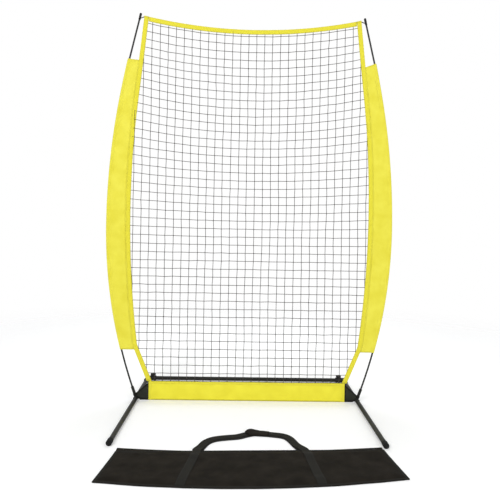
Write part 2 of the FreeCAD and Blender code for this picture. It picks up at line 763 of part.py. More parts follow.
def make_bindings():
    width = size.binding_width
    inner_top = top_corner(0, width)
    outer_top = top_corner(width, width)
    inner_turn = kink_point(0)
    outer_turn = kink_point(width)
    inner_foot = (diagonal_x(size.band_top, 0), size.band_top)
    outer_foot = (diagonal_x(size.band_top, width), size.band_top)
    side = face_of(
        [
            straight(inner_foot, inner_turn),
            side_arc(inner_turn[1], inner_top[1], 0),
            hem_arc(inner_top[0], outer_top[0], width),
            side_arc(outer_turn[1], outer_top[1], width),
            straight(outer_turn, outer_foot),
            straight(outer_foot, inner_foot),
        ]
    )
    shaped("side_binding_right", folded(side))
    mirror_to_left("side_binding")

    low_corner = top_corner(0, 0)
    end = side_arc(low_corner[1], inner_top[1], 0)
    hem = face_of(
        [
            hem_arc(-low_corner[0], low_corner[0], 0),
            hem_arc(-inner_top[0], inner_top[0], width),
            end,
            *mirrored([end]),
        ]
    )
    shaped("top_hem", folded(hem))

    band = face_of(rectangle(-band_half, band_half, size.band_bottom, size.band_top))
    shaped("bottom_band", folded(band))


def bow_arc(low, high):
    middle = (low + high) / 2
    return bent(*[(bow_curve_x(height), height) for height in (low, middle, high)])


def bow_band(low, high, half):
    """Band along the pole's bend between two heights, half as wide on each side of its axis."""
    mid = size.ferrule_height
    edges = []
    corners = []
    for out in (-half, half):
        points = []
        for height in (low, (low + mid) / 2, mid, (mid + high) / 2, high):
            centre, bend = (lower_centre, lower_radius) if height < mid else (upper_centre, size.upper_bow_radius)
            rise = height - mid
            points.append((centre.x + math.sqrt((bend + out) ** 2 - rise**2), height))
        edges += [bent(*points[:3]), bent(*points[2:])]
        corners.append((points[0], points[-1]))
    inner, outer = corners
    return face_of(edges + [straight(inner[0], outer[0]), straight(inner[1], outer[1])])


def make_sleeve():
    """Cloth from the side binding out to the pole, with a sewn channel round the pole."""
    low, high, mid = size.sleeve_low, sleeve_high, size.ferrule_height
    out = size.binding_width
    turn = kink_point(out)
    inner = [side_arc(max(turn[1], low), high, out)]
    if low < turn[1]:
        inner.append(straight((diagonal_x(low, out), low), turn))
    inner_low = diagonal_x(low, out) if low < turn[1] else side_x(low, out)
    panel = face_of(
        inner
        + [
            straight((inner_low, low), (bow_curve_x(low), low)),
            bow_arc(low, mid),
            bow_arc(mid, high),
            straight((bow_curve_x(high), high), (side_x(high, out), high)),
        ]
    )
    bore = size.channel_bore / 2
    outside = thick(bow_band(low, high, bore + size.channel_wall), 2 * (bore + size.channel_wall))
    inside = thick(bow_band(low, high, bore), 2 * bore)
    cloth = thick(panel, size.sleeve_thickness).fuse(outside).cut(inside)
    shaped("side_sleeve_right", cloth)
    mirror_to_left("side_sleeve")


def make_corner():
    """Black gusset from the band's end to the leg, held by a loop round the pole socket."""
    foot = Vector(leg_x, 0, size.axis_height)
    saddle_r = size.tube_dia / 2 + size.saddle_wall + size.clear_gap
    loop_low = saddle_r
    loop_r = size.socket_dia / 2 + size.loop_wall
    ring = along(foot + socket_way * loop_low, socket_way, size.loop_width, loop_r)
    tube = along(foot, socket_way, size.socket_length, size.socket_dia / 2)
    shaped("corner_loop_right", ring.cut(tube))
    mirror_to_left("corner_loop")

    inward = Vector(-socket_way.z, 0, socket_way.x) * loop_r
    low_tip = foot + socket_way * loop_low + inward
    high_tip = low_tip + socket_way * size.loop_width
    half = band_half
    outline = [
        (half, size.band_bottom),
        (low_tip.x, size.band_bottom),
        (low_tip.x, low_tip.z),
        (high_tip.x, high_tip.z),
        (half, size.band_top - size.binding_thickness),
    ]
    edges = [straight(outline[i], outline[(i + 1) % 5]) for i in range(5)]
    leg_bar = Part.makeCylinder(saddle_r, 200, foot - Vector(0, 100, 0), Vector(0, 1, 0))
    shaped("corner_gusset_right", thick(face_of(edges), size.gusset_thickness).cut(leg_bar))
    mirror_to_left("corner_gusset")


def make_tie():
    """Tapered tie that pulls the net's top corner to the pole, with an eye round the pole."""
    along_straight = size.straight_run - size.tie_drop - size.tie_width
    eye_start = straight_start + tip_way * (along_straight / math.cos(upper_angle))
    eye_end = eye_start + tip_way * (size.tie_width / math.cos(upper_angle))
    pole_r = size.pole_dia / 2
    eye = along(eye_start, tip_way, (eye_end - eye_start).Length, pole_r + size.tie_wall)
    pole = along(straight_start, tip_way, straight_length, pole_r)
    width = size.binding_width
    corner = top_corner(width, width)
    root = corner[1] - size.tie_root
    strap = face_of(
        [
            straight((side_x(root, width), root), (eye_start.x, eye_start.z)),
            straight((eye_start.x, eye_start.z), (eye_end.x, eye_end.z)),
            straight((eye_end.x, eye_end.z), corner),
            side_arc(root, corner[1], width),
        ]
    )
    shaped("tip_tie_right", thick(strap, size.tie_wall).fuse(eye).cut(pole))
    mirror_to_left("tip_tie")


# Carry bag, lying flat in front of the net

BAG_REAR = f"({NET_PLANE} - Sizes.bag_gap)"


bag_turned = Rotation(Vector(0, 0, 1), size.bag_turn)
bag_middle = Vector(size.bag_offset, net_plane - size.bag_gap - size.bag_depth / 2, 0)


def on_bag(along, back, up):
    """Place of a corner of a bag piece, from the bag's middle and turned with it."""
    return (
        f"Sizes.bag_offset + ({along}) * cos(Sizes.bag_turn) - ({back}) * sin(Sizes.bag_turn)",
        f"{BAG_REAR} - Sizes.bag_depth / 2 + ({along}) * sin(Sizes.bag_turn) + ({back}) * cos(Sizes.bag_turn)",
        up,
    )


def make_bag():
    body = box(
        "bag_slab",
        "Sizes.bag_length",
        "Sizes.bag_depth",
        "Sizes.bag_thickness",
        on_bag("-Sizes.bag_length / 2", "-Sizes.bag_depth / 2", "0"),
        bag_turned,
    )
    doc.recompute()
    rounded = doc.addObject("Part::Fillet", "bag_rounded")
    rounded.Base = body
    long_edges = [
        number
        for number, edge in enumerate(body.Shape.Edges, start=1)
        if abs(edge.tangentAt(edge.FirstParameter).z) < 0.5
    ]
    rounded.Edges = [(number, size.bag_edge_round, size.bag_edge_round) for number in long_edges]
    keep("bag_body", rounded)


def loop_outline(width, end_y):
    """Plan of a handle: a webbing loop behind the bag, open towards it. y is from the bag's edge."""
    half = size.strap_width / 2 + width
    centre = [
        (-size.handle_span / 2, end_y),
        (-size.handle_top_span / 2, size.handle_reach - size.strap_width / 2),
        (size.handle_top_span / 2, size.handle_reach - size.strap_width / 2),
        (size.handle_span / 2, end_y),
    ]
    slope = math.atan2(centre[1][1] - end_y, centre[1][0] - centre[0][0])
    side_shift = half / math.sin(slope)
    turn_shift = half * math.tan(slope / 2)
    outer = [
        (centre[0][0] - side_shift, end_y),
        (centre[1][0] - turn_shift, centre[1][1] + half),
        (centre[2][0] + turn_shift, centre[2][1] + half),
        (centre[3][0] + side_shift, end_y),
    ]
    inner = [
        (centre[3][0] - side_shift, end_y),
        (centre[2][0] - turn_shift, centre[2][1] - half),
        (centre[1][0] + turn_shift, centre[1][1] - half),
        (centre[0][0] + side_shift, end_y),
    ]
    return outer + inner


handle_middle = size.handle_offset - size.bag_offset
rear_edge = size.bag_depth / 2


def plan_solid(points, low, thickness):
    """Flat piece from a plan outline, in the bag's own axes."""
    corners = [Vector(handle_middle + x, rear_edge + y, low) for x, y in points]
    wire = Part.makePolygon(corners + corners[:1])
    return Part.Face(wire).extrude(Vector(0, 0, thickness))


def strap_side(points, left, right):
    """Webbing seen from its edge: a band of (y, z) points, as wide as left to right."""
    corners = [Vector(handle_middle + left, rear_edge + y, z) for y, z in points]
    wire = Part.makePolygon(corners + corners[:1])
    return Part.Face(wire).extrude(Vector(right - left, 0, 0))


def bag_feature(label, shape):
    piece = doc.addObject("Part::Feature", label)
    piece.Shape = shape
    piece.Placement = Placement(bag_middle, bag_turned).multiply(shape.Placement)
    return keep(label, piece)


def make_handles():
    """Two webbing handles: the upper one comes off the bag's top, the lower one from under the zip."""
    webbing = size.strap_thickness
    lower_z = size.handle_low
    upper_z = lower_z + webbing
    bag_feature("bag_handle_lower", plan_solid(loop_outline(0, 0), lower_z, webbing))

    top = size.bag_thickness
    slope = math.atan2(
        size.handle_reach - size.strap_width / 2 - size.ramp_end,
        (size.handle_span - size.handle_top_span) / 2,
    )
    half = size.strap_width / 2 / math.sin(slope)
    pieces = [plan_solid(loop_outline(0, size.ramp_end), upper_z, webbing)]
    for side in (-1, 1):
        middle = side * size.handle_span / 2
        profile = [
            (-size.bag_depth + size.bag_edge_round, top),
            (size.ramp_start, top),
            (size.ramp_end, upper_z),
            (size.ramp_end, upper_z + webbing),
            (size.ramp_start, top + webbing),
            (-size.bag_depth + size.bag_edge_round, top + webbing),
        ]
        pieces.append(strap_side(profile, middle - half, middle + half))
    bag_feature("bag_handle_upper", pieces[0].multiFuse(pieces[1:]).removeSplitter())


def make_wrap():
    """Grip wrap that holds the two handles together."""
    wall = size.wrap_wall
    left = size.wrap_offset - size.wrap_length / 2
    right = left + size.wrap_length
    webbing = size.strap_thickness
    far = size.handle_reach
    near = far - size.strap_width
    low = size.handle_low
    high = low + 2 * webbing
    outside = plan_solid(
        [(left, near - wall), (right, near - wall), (right, far + wall), (left, far + wall)],
        low - wall,
        high - low + 2 * wall,
    )
    inside = plan_solid([(left, near), (right, near), (right, far), (left, far)], low, high - low)
    bag_feature("handle_wrap", outside.cut(inside))


def make_zip():
    chain = box(
        "zip_chain",
        "Sizes.zip_length",
        "Sizes.zip_depth",
        "Sizes.zip_height",
        on_bag("-Sizes.zip_length / 2", "Sizes.bag_depth / 2", "Sizes.zip_low"),
        bag_turned,
    )
    keep("bag_zip", chain)

    gap = "Sizes.clear_gap"
    slider_x = "Sizes.zip_length / 2 - Sizes.slider_inset - Sizes.slider_length / 2"
    slider_y = f"Sizes.bag_depth / 2 + {gap}"
    outside_low = f"Sizes.zip_low - {gap} - Sizes.slider_wall"
    outside = box(
        "slider_outside",
        "Sizes.slider_length",
        f"Sizes.zip_depth + Sizes.slider_wall",
        f"Sizes.zip_height + 2 * {gap} + 2 * Sizes.slider_wall",
        on_bag(slider_x, slider_y, outside_low),
        bag_turned,
    )
    inside = box(
        "slider_inside",
        "Sizes.slider_length",
        f"Sizes.zip_depth",
        f"Sizes.zip_height + 2 * {gap}",
        on_bag(slider_x, slider_y, f"Sizes.zip_low - {gap}"),
        bag_turned,
    )
    keep("zip_slider", cut("slider", outside, inside))

    pull_y = f"{slider_y} + Sizes.zip_depth + Sizes.slider_wall + {gap}"
    pull = box(
        "pull_plate",
        "Sizes.pull_length",
        "Sizes.pull_thickness",
        "Sizes.pull_width",
        on_bag(
            "Sizes.zip_length / 2 - Sizes.slider_inset - Sizes.pull_length",
            pull_y,
            "Sizes.zip_low + Sizes.zip_height / 2 - Sizes.pull_width / 2",
        ),
        bag_turned,
    )
    keep("zip_pull", pull)


def check_all():
    """Stop if any object failed or any sub-part is empty or broken."""
    doc.recompute()
    for item in doc.Objects:
        if {"Invalid", "Error"} & set(item.State):
            raise RuntimeError(f"{item.Label} failed: {item.State}")
    for label, piece in subparts.items():
        shape = piece.Shape
        if shape.isNull() or not shape.isValid() or not shape.Solids:
            raise RuntimeError(f"{label} has no valid solid")


def write_all():
    os.makedirs("parts", exist_ok=True)
    for label, piece in subparts.items():
        piece.Shape.exportStep(os.path.join("parts", f"{label}.step"))


make_crossbar()
make_leg()
make_foot_cap()
make_hub()
make_clamp()
make_button()
make_poles()
make_tip_cap()
make_socket()
make_net()
make_bindings()
make_sleeve()
make_corner()
make_tie()
make_bag()
make_handles()
make_wrap()
make_zip()
check_all()
write_all()

whole = Part.Compound([piece.Shape for piece in subparts.values()]).BoundBox
print("sub-parts:", len(subparts))
print("box:", [round(value, 2) for value in (whole.XMin, whole.XMax, whole.YMin, whole.YMax, whole.ZMin, whole.ZMax)])
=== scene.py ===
# %% [markdown]
# A free-standing pitching net, dressed in Blender. Two slim bow poles stand on a flat black steel base and
# stretch a knotted square mesh between them. Yellow webbing borders the mesh, yellow sleeves run from the
# webbing to the poles, and the empty carry bag lies in front. Everything is in metres, in the frame of the
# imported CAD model. Hard pieces keep their CAD shape and only get a finish here. Cloth, mesh and webbing are
# built again here with their weave, seams and folds, because a CAD solid can't show those.

import json
import math
import random

import bpy
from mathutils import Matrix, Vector, noise

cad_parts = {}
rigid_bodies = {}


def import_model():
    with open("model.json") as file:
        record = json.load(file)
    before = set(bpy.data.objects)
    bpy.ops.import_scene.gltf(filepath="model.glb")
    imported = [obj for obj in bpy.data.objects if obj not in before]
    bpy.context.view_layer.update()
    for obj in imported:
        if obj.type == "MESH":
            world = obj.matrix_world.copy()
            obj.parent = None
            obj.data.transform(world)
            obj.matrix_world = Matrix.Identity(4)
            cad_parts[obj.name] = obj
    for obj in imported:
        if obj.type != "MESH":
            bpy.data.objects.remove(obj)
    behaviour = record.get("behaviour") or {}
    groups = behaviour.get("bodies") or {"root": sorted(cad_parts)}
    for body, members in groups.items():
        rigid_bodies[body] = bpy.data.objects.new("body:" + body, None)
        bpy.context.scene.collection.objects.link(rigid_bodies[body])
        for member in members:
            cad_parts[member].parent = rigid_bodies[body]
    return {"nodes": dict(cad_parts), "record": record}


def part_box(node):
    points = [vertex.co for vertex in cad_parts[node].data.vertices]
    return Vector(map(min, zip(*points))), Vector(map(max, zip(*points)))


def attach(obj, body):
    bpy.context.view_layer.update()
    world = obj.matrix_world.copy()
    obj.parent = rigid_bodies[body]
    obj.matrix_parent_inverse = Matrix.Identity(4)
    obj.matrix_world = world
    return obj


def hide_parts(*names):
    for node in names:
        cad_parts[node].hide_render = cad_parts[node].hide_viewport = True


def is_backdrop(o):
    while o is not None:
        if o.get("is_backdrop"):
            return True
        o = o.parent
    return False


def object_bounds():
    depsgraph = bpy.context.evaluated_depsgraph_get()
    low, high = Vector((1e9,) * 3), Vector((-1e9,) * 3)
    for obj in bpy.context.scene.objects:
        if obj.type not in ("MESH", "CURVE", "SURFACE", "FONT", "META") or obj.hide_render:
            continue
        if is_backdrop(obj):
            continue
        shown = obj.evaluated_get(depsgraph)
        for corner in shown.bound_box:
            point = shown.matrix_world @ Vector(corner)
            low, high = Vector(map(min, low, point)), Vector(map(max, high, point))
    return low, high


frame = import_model()
cad_low, cad_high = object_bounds()
random.seed(7)


def rounded(values):
    return [round(value, 3) for value in values]


print("CAD box", rounded((*cad_low, *cad_high)), "with", len(frame["nodes"]), "nodes")

# %% [markdown]
# The soft pieces must meet the CAD poles and tubes, so this lesson starts with the numbers that both files
# share. They could be measured off the meshes, but a curve read from a mesh is lumpy. Writing down the few
# lengths that drive the CAD and working out the curves from them gives smooth lines that fit exactly. The
# net's plane is the one number that is read from the frame, since its place follows from the base.

# %% Lengths shared with the CAD source
NET_Y = (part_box("net_mesh")[0].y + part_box("net_mesh")[1].y) / 2
AXIS_Z = 0.0131       # middle of the base tubes
LEG_X = 0.61
BOW_X = 0.7835        # pole's axis where the bow is widest
FERRULE_Z = 0.966
TIP_Z = 2.134
STRAIGHT_Z = TIP_Z - 0.249
UPPER_BEND = 4.03
BAND_TOP = 0.106
BAND_HALF = 0.542
WEB = 0.025           # width of the folded webbing
MESH = 0.04445        # the net's square, 1 3/4 inches
print("net plane at y =", round(NET_Y, 4))

# %% [markdown]
# Each pole is two glass-fibre sections. The lower one leans out of its socket and curves upright, the upper
# one curves back in, and its last stretch is straight because nothing bends it there. Sleeves, loops and
# ties all need the pole's middle at some height, so it is written as one small function of z.

# %% The pole's line
LOWER_RISE = FERRULE_Z - AXIS_Z
LOWER_BEND = (LOWER_RISE**2 + (BOW_X - LEG_X) ** 2) / (2 * (BOW_X - LEG_X))


def pole_x(z):
    """Distance of the pole's middle from the centre plane at a height."""
    if z < FERRULE_Z:
        return BOW_X - LOWER_BEND + math.sqrt(LOWER_BEND**2 - (FERRULE_Z - z) ** 2)
    if z < STRAIGHT_Z:
        return BOW_X - UPPER_BEND + math.sqrt(UPPER_BEND**2 - (z - FERRULE_Z) ** 2)
    lean = math.tan(math.asin((STRAIGHT_Z - FERRULE_Z) / UPPER_BEND))
    return pole_x(STRAIGHT_Z - 1e-9) - (z - STRAIGHT_Z) * lean


print("pole line at its foot, ferrule and tip:", rounded(map(pole_x, (AXIS_Z, FERRULE_Z, TIP_Z))))

# %% [markdown]
# The net's side edge runs beside the pole at nearly the same distance, so it is almost an arc too. A circle
# through three known points of that edge is simpler than a spline, and it can be moved outwards by the
# webbing's width just by adding to its radius. Near the top the corner tie pulls the edge towards the pole,
# which straightens the last half metre a little.

# %% The net's side edge
TURN_Z = 0.307
SLEEVE_LOW, SLEEVE_HIGH = 0.279, TIP_Z - 0.262
HEM_LOW = TIP_Z - 0.104
PULL_FROM, CORNER_PULL = 1.70, 0.012


def circle_through(a, b, c):
    """Middle and radius of the circle through three (x, z) points."""
    d = 2 * (a[0] * (b[1] - c[1]) + b[0] * (c[1] - a[1]) + c[0] * (a[1] - b[1]))
    squares = [p[0] ** 2 + p[1] ** 2 for p in (a, b, c)]
    x = (squares[0] * (b[1] - c[1]) + squares[1] * (c[1] - a[1]) + squares[2] * (a[1] - b[1])) / d
    z = (squares[0] * (c[0] - b[0]) + squares[1] * (a[0] - c[0]) + squares[2] * (b[0] - a[0])) / d
    return x, z, math.hypot(a[0] - x, a[1] - z)


EDGE_X, EDGE_Z, EDGE_BEND = circle_through(
    (pole_x(TURN_Z) - 0.092, TURN_Z),
    (pole_x(FERRULE_Z) - 0.125, FERRULE_Z),
    (pole_x(SLEEVE_HIGH) - 0.082, SLEEVE_HIGH),
)


def side_x(z, out=0.0):
    """The net's side edge at a height, moved outwards."""
    pulled = max((z - PULL_FROM) / (HEM_LOW - PULL_FROM), 0.0) ** 2
    return EDGE_X + math.sqrt((EDGE_BEND + out) ** 2 - (z - EDGE_Z) ** 2) + CORNER_PULL * pulled


print("side edge bends on a radius of", round(EDGE_BEND, 2), "m")

# %% [markdown]
# The top hem hangs in a shallow arc between the pole tips, and below the sleeves the edge runs straight in
# to the bottom band. These pieces of outline are joined by taking whichever lies further in, which needs no
# hand-made corner, and the top corner is found by going back and forth between the two arcs a few times.

# %% The whole outline of the net
HEM_BEND = 2.83
CORNER_X = 0.526
DIAGONAL = (side_x(TURN_Z) - CORNER_X) / (TURN_Z - BAND_TOP)
DIAGONAL_OUT = math.hypot(DIAGONAL, 1)


def hem_z(x, up=0.0):
    """The top hem's lower edge, moved up."""
    return HEM_LOW + HEM_BEND - math.sqrt((HEM_BEND - up) ** 2 - x**2)


def edge_x(z, out=0.0):
    """The net's side edge from the bottom corner to the top one, moved outwards."""
    slanted = CORNER_X + (z - BAND_TOP) * DIAGONAL + out * DIAGONAL_OUT
    return min(slanted, side_x(z, out))


def top_corner(out, up):
    """Where the side edge and the hem cross, each moved by its own amount."""
    z = HEM_LOW
    for _ in range(30):
        z = hem_z(side_x(z, out), up)
    return side_x(z, out), z


print("top corner of the webbing at", rounded(top_corner(WEB, WEB)))

# %% [markdown]
# Materials come next, and they are all made of nodes. Adding nodes one call at a time takes many lines, so
# one helper feeds a node's inputs, with a socket or a plain value, and one adds a node with its settings.

# %% Helpers: feed a node and add one
def feed(tree, node, links):
    """Give each named input a socket or a value; a colour is written without its alpha."""
    for key, value in links.items():
        if isinstance(value, bpy.types.NodeSocket):
            tree.links.new(value, node.inputs[key])
        else:
            node.inputs[key].default_value = (*value, 1) if node.inputs[key].type == "RGBA" else value
    return node


def add(tree, kind, links=None, **settings):
    """New node with its settings and its inputs fed."""
    node = tree.nodes.new(kind)
    for name, value in settings.items():
        setattr(node, name, value)
    return feed(tree, node, links or {})


print("two helpers for any node")

# %% [markdown]
# Four kinds of node come again and again: Math, Map Range, Noise and the mix of two colours. Each gets a
# short function that returns its output, so a chain of nodes can be written as one line of sums.

# %% Helpers: the commonest nodes
def maths(tree, operation, a, b=None, c=None):
    """Output of a Math node over sockets or numbers."""
    links = {i: value for i, value in enumerate((a, b, c)) if value is not None}
    return add(tree, "ShaderNodeMath", links, operation=operation).outputs[0]


def ramp(tree, value, low, high, start=0.0, end=1.0, smooth=False):
    """Output of a Map Range node."""
    links = {"Value": value, "From Min": low, "From Max": high, "To Min": start, "To Max": end}
    kind = "SMOOTHSTEP" if smooth else "LINEAR"
    return add(tree, "ShaderNodeMapRange", links, interpolation_type=kind).outputs[0]


def cloudy(tree, place, scale, detail, roughness=0.5):
    """Output of a Noise Texture node."""
    links = {"Vector": place, "Scale": scale, "Detail": detail, "Roughness": roughness}
    return add(tree, "ShaderNodeTexNoise", links).outputs[0]


def colour(tree, mask, dark, light):
    """Colour between two, by a mask."""
    links = {"Factor": mask, "A": dark, "B": light}
    return add(tree, "ShaderNodeMix", links, data_type="RGBA").outputs["Result"]


print("four helpers for the commonest nodes")

# %% [markdown]
# Band, sleeves, gussets and bag are all plain-woven cloth. What several materials share is built once, as a
# shader group with named sockets, and each material places it with its own values. An image of cloth would
# repeat and blur, so the weave is worked out instead: a sine along each direction gives the threads, and
# the sign of their product says which lies on top. Noise in the coordinates keeps the threads from being
# ruler straight, fine noise adds fuzz, broad noise mixes two tones, and one between them gives creases.

# %% Shared effect: plain weave
FLOAT, TINT, PLACE = "NodeSocketFloat", "NodeSocketColor", "NodeSocketVector"


def new_group(name, inputs, outputs):
    """Shader group, with the nodes at its start and end; sockets are given as name=type."""
    group = bpy.data.node_groups.new(name, "ShaderNodeTree")
    for direction, sockets in (("INPUT", inputs), ("OUTPUT", outputs)):
        for label, kind in sockets.items():
            group.interface.new_socket(label, in_out=direction, socket_type=kind)
    return group, group.nodes.new("NodeGroupInput"), group.nodes.new("NodeGroupOutput")


WEAVE, start, end = new_group(
    "plain_weave",
    {"Vector": PLACE, "Threads": FLOAT, "Uneven": FLOAT, "Dark": TINT, "Light": TINT},
    {"Color": TINT, "Height": FLOAT, "Crease": FLOAT},
)
place = start.outputs["Vector"]
drift = add(WEAVE, "ShaderNodeTexNoise", {"Vector": place, "Scale": 9.0, "Detail": 2.0})
shift = add(WEAVE, "ShaderNodeVectorMath", {0: drift.outputs["Color"], 1: (0.004,) * 3}, operation="MULTIPLY")
moved = add(WEAVE, "ShaderNodeVectorMath", {0: place, 1: shift.outputs[0]}, operation="ADD")
split = add(WEAVE, "ShaderNodeSeparateXYZ", {0: moved.outputs[0]})
warp, weft = (
    maths(WEAVE, "SINE", maths(WEAVE, "MULTIPLY", split.outputs[i], start.outputs["Threads"])) for i in (0, 1)
)
on_top = maths(WEAVE, "GREATER_THAN", maths(WEAVE, "MULTIPLY", warp, weft), 0.0)
threads = add(
    WEAVE,
    "ShaderNodeMix",
    {"Factor": on_top, "A": maths(WEAVE, "ABSOLUTE", warp), "B": maths(WEAVE, "ABSOLUTE", weft)},
    data_type="FLOAT",
)
fuzz = cloudy(WEAVE, place, 900.0, 3.0, 0.6)
tone = ramp(WEAVE, cloudy(WEAVE, place, 14.0, 4.0, 0.55), 0.32, 0.68)
feed(WEAVE, end, {
    "Color": colour(WEAVE, tone, start.outputs["Dark"], start.outputs["Light"]),
    "Height": maths(WEAVE, "MULTIPLY_ADD", fuzz, start.outputs["Uneven"], threads.outputs["Result"]),
    "Crease": cloudy(WEAVE, place, 22.0, 5.0),
})
print("group", WEAVE.name, "with", len(WEAVE.nodes), "nodes")

# %% [markdown]
# Webbing is a narrow woven tape with ribs across it, sewn down with a row of stitches near each edge. Its
# strips carry a UV map with metres along the strip in U and 0 to 1 across it in V, so ribs and stitches
# follow every curve. The rim is darkened a little as painted shade along the strip's edges, and the stitch
# thread has a colour of its own.

# %% Shared effect: ribbed webbing with stitch rows
RIBBED, start, end = new_group(
    "ribbed_webbing",
    {
        "Vector": PLACE, "UV": PLACE, "Ribs": FLOAT, "Stitch": FLOAT, "Inset": FLOAT,
        "Dark": TINT, "Light": TINT, "Yarn": TINT,
    },
    {"Color": TINT, "Height": FLOAT},
)
split = add(RIBBED, "ShaderNodeSeparateXYZ", {0: start.outputs["UV"]})
along, across = split.outputs[0], split.outputs[1]
ribs = maths(RIBBED, "SINE", maths(RIBBED, "MULTIPLY", along, start.outputs["Ribs"]))
ribs = maths(RIBBED, "ABSOLUTE", ribs)
cords = maths(RIBBED, "ABSOLUTE", maths(RIBBED, "SINE", maths(RIBBED, "MULTIPLY", across, 60.0)))
woven = maths(RIBBED, "MULTIPLY_ADD", cords, 0.5, ribs)
to_edge = maths(RIBBED, "MINIMUM", across, maths(RIBBED, "SUBTRACT", 1.0, across))
off_row = maths(RIBBED, "ABSOLUTE", maths(RIBBED, "SUBTRACT", to_edge, start.outputs["Inset"]))
row = ramp(RIBBED, off_row, 0.012, 0.035, 1.0, 0.0, smooth=True)
dash = maths(RIBBED, "SINE", maths(RIBBED, "MULTIPLY", along, start.outputs["Stitch"]))
thread = maths(RIBBED, "MULTIPLY", row, maths(RIBBED, "GREATER_THAN", dash, -0.35))
puckered = maths(RIBBED, "MULTIPLY_ADD", row, -1.6, woven)
# painted shade: the colour darkens towards each edge of the strip
rim = maths(RIBBED, "MULTIPLY", ramp(RIBBED, to_edge, 0.0, 0.08, 1.0, 0.0, smooth=True), 0.35)
patches = cloudy(RIBBED, start.outputs["Vector"], 30.0, 4.0, 0.6)
tone = colour(RIBBED, patches, start.outputs["Dark"], start.outputs["Light"])
tone = colour(RIBBED, rim, tone, start.outputs["Dark"])
feed(RIBBED, end, {
    "Color": colour(RIBBED, thread, tone, start.outputs["Yarn"]),
    "Height": maths(RIBBED, "MULTIPLY_ADD", thread, 2.4, puckered),
})
print("group", RIBBED.name, "with", len(RIBBED.nodes), "nodes")

# %% [markdown]
# Paint, plastic, rubber, metal and glass fibre all have a fine grain, and patches where dust or handling
# has made them lighter and duller. One group holds both: a fine noise is put out as a height, and a broad
# one mixes the clean colour with the worn one and raises the roughness in the same places.

# %% Shared effect: grain and wear
GRAINED, start, end = new_group(
    "grain_and_wear",
    {"Vector": PLACE, "Grain": FLOAT, "Clean": TINT, "Worn": TINT, "Roughness": FLOAT},
    {"Color": TINT, "Roughness": FLOAT, "Height": FLOAT},
)
place, clean = start.outputs["Vector"], start.outputs["Roughness"]
patch = ramp(GRAINED, cloudy(GRAINED, place, 18.0, 5.0, 0.6), 0.35, 0.75)
feed(GRAINED, end, {
    "Color": colour(GRAINED, patch, start.outputs["Clean"], start.outputs["Worn"]),
    "Roughness": ramp(GRAINED, patch, 0.0, 1.0, clean, maths(GRAINED, "ADD", clean, 0.15)),
    "Height": cloudy(GRAINED, place, start.outputs["Grain"], 2.0),
})
print("group", GRAINED.name, "with", len(GRAINED.nodes), "nodes")

# %% [markdown]
# Four helpers serve every material: one opens a new material at its Principled shader, one places a group,
# one gives the coordinates and one turns a height into a bump. Small relief such as thread and grain stays
# in the bump, while every fold that shows in the outline is real mesh.

# %% Helpers for materials
materials = {}


def new_material(name):
    material = bpy.data.materials.new(name)
    material.use_nodes = True
    materials[name] = material
    return material.node_tree, material.node_tree.nodes["Principled BSDF"]


def place_group(tree, group, **values):
    return add(tree, "ShaderNodeGroup", values, node_tree=group).outputs


def coordinates(tree, kind="Object"):
    return tree.nodes.new("ShaderNodeTexCoord").outputs[kind]


def bump(tree, shader, height, distance, strength, under=None):
    """Bump into the shader's normal, laid over an earlier bump if there is one."""
    links = {"Height": height, "Distance": distance, "Strength": strength}
    if under is not None:
        links["Normal"] = under
    normal = add(tree, "ShaderNodeBump", links).outputs[0]
    feed(tree, shader, {"Normal": normal})
    return normal


print("material helpers ready")

# %% [markdown]
# Woven cloth: the yellow band and sleeves stand in the net's plane, the bag lies on the floor. The weave is
# laid out in the plane in which the cloth lies, in object coordinates, so it keeps one size everywhere.
# Under the threads goes a second, softer bump for the small creases that stretched nylon always has.

# %% Material: woven cloth
def cloth_material(name, dark, light, threads, roughness, shine, depth, standing=True):
    """Woven cloth in the net's plane, or lying on the floor."""
    tree, shader = new_material(name)
    place = coordinates(tree)
    if standing:
        split = add(tree, "ShaderNodeSeparateXYZ", {0: place})
        turned = {0: split.outputs[0], 1: split.outputs[2], 2: split.outputs[1]}
        place = add(tree, "ShaderNodeCombineXYZ", turned).outputs[0]
    weave = place_group(tree, WEAVE, Vector=place, Threads=threads, Uneven=0.3, Dark=dark, Light=light)
    feed(tree, shader, {"Base Color": weave["Color"], "Roughness": roughness, "Specular IOR Level": shine})
    fine = bump(tree, shader, weave["Height"], depth, 0.5)
    bump(tree, shader, weave["Crease"], 0.004, 0.35, fine)


cloth_material("yellow_band", (0.77, 0.69, 0.040), (0.84, 0.765, 0.052), 2600.0, 0.75, 0.15, 0.0002)
cloth_material("yellow_cloth", (0.73, 0.655, 0.044), (0.80, 0.735, 0.070), 3400.0, 0.6, 0.2, 0.0002)
cloth_material(
    "bag_cloth", (0.0095, 0.0080, 0.0060), (0.0185, 0.0155, 0.0120), 2400.0, 0.9, 0.07, 0.0003, False
)
cloth_material("gusset_cloth", (0.018, 0.019, 0.014), (0.034, 0.036, 0.027), 2600.0, 0.85, 0.15, 0.0003)
print("cloths:", sorted(materials))

# %% [markdown]
# Webbing: the same yellow as the cloth but a shade deeper, since its thick yarn holds more shadow. The
# band's lower hem is a separate, duller yellow: painted shade along the band's bottom edge, where it meets
# the ground.

# %% Material: webbing
def webbing_material(name, dark, light, yarn, roughness, shine, inset=0.13):
    """Ribbed webbing with stitch rows and edges darkened as painted shade."""
    tree, shader = new_material(name)
    web = place_group(
        tree, RIBBED, Vector=coordinates(tree), UV=coordinates(tree, "UV"), Ribs=1500.0, Stitch=700.0,
        Inset=inset, Dark=dark, Light=light, Yarn=yarn,
    )
    feed(tree, shader, {"Base Color": web["Color"], "Roughness": roughness, "Specular IOR Level": shine})
    bump(tree, shader, web["Height"], 0.00025, 0.8)


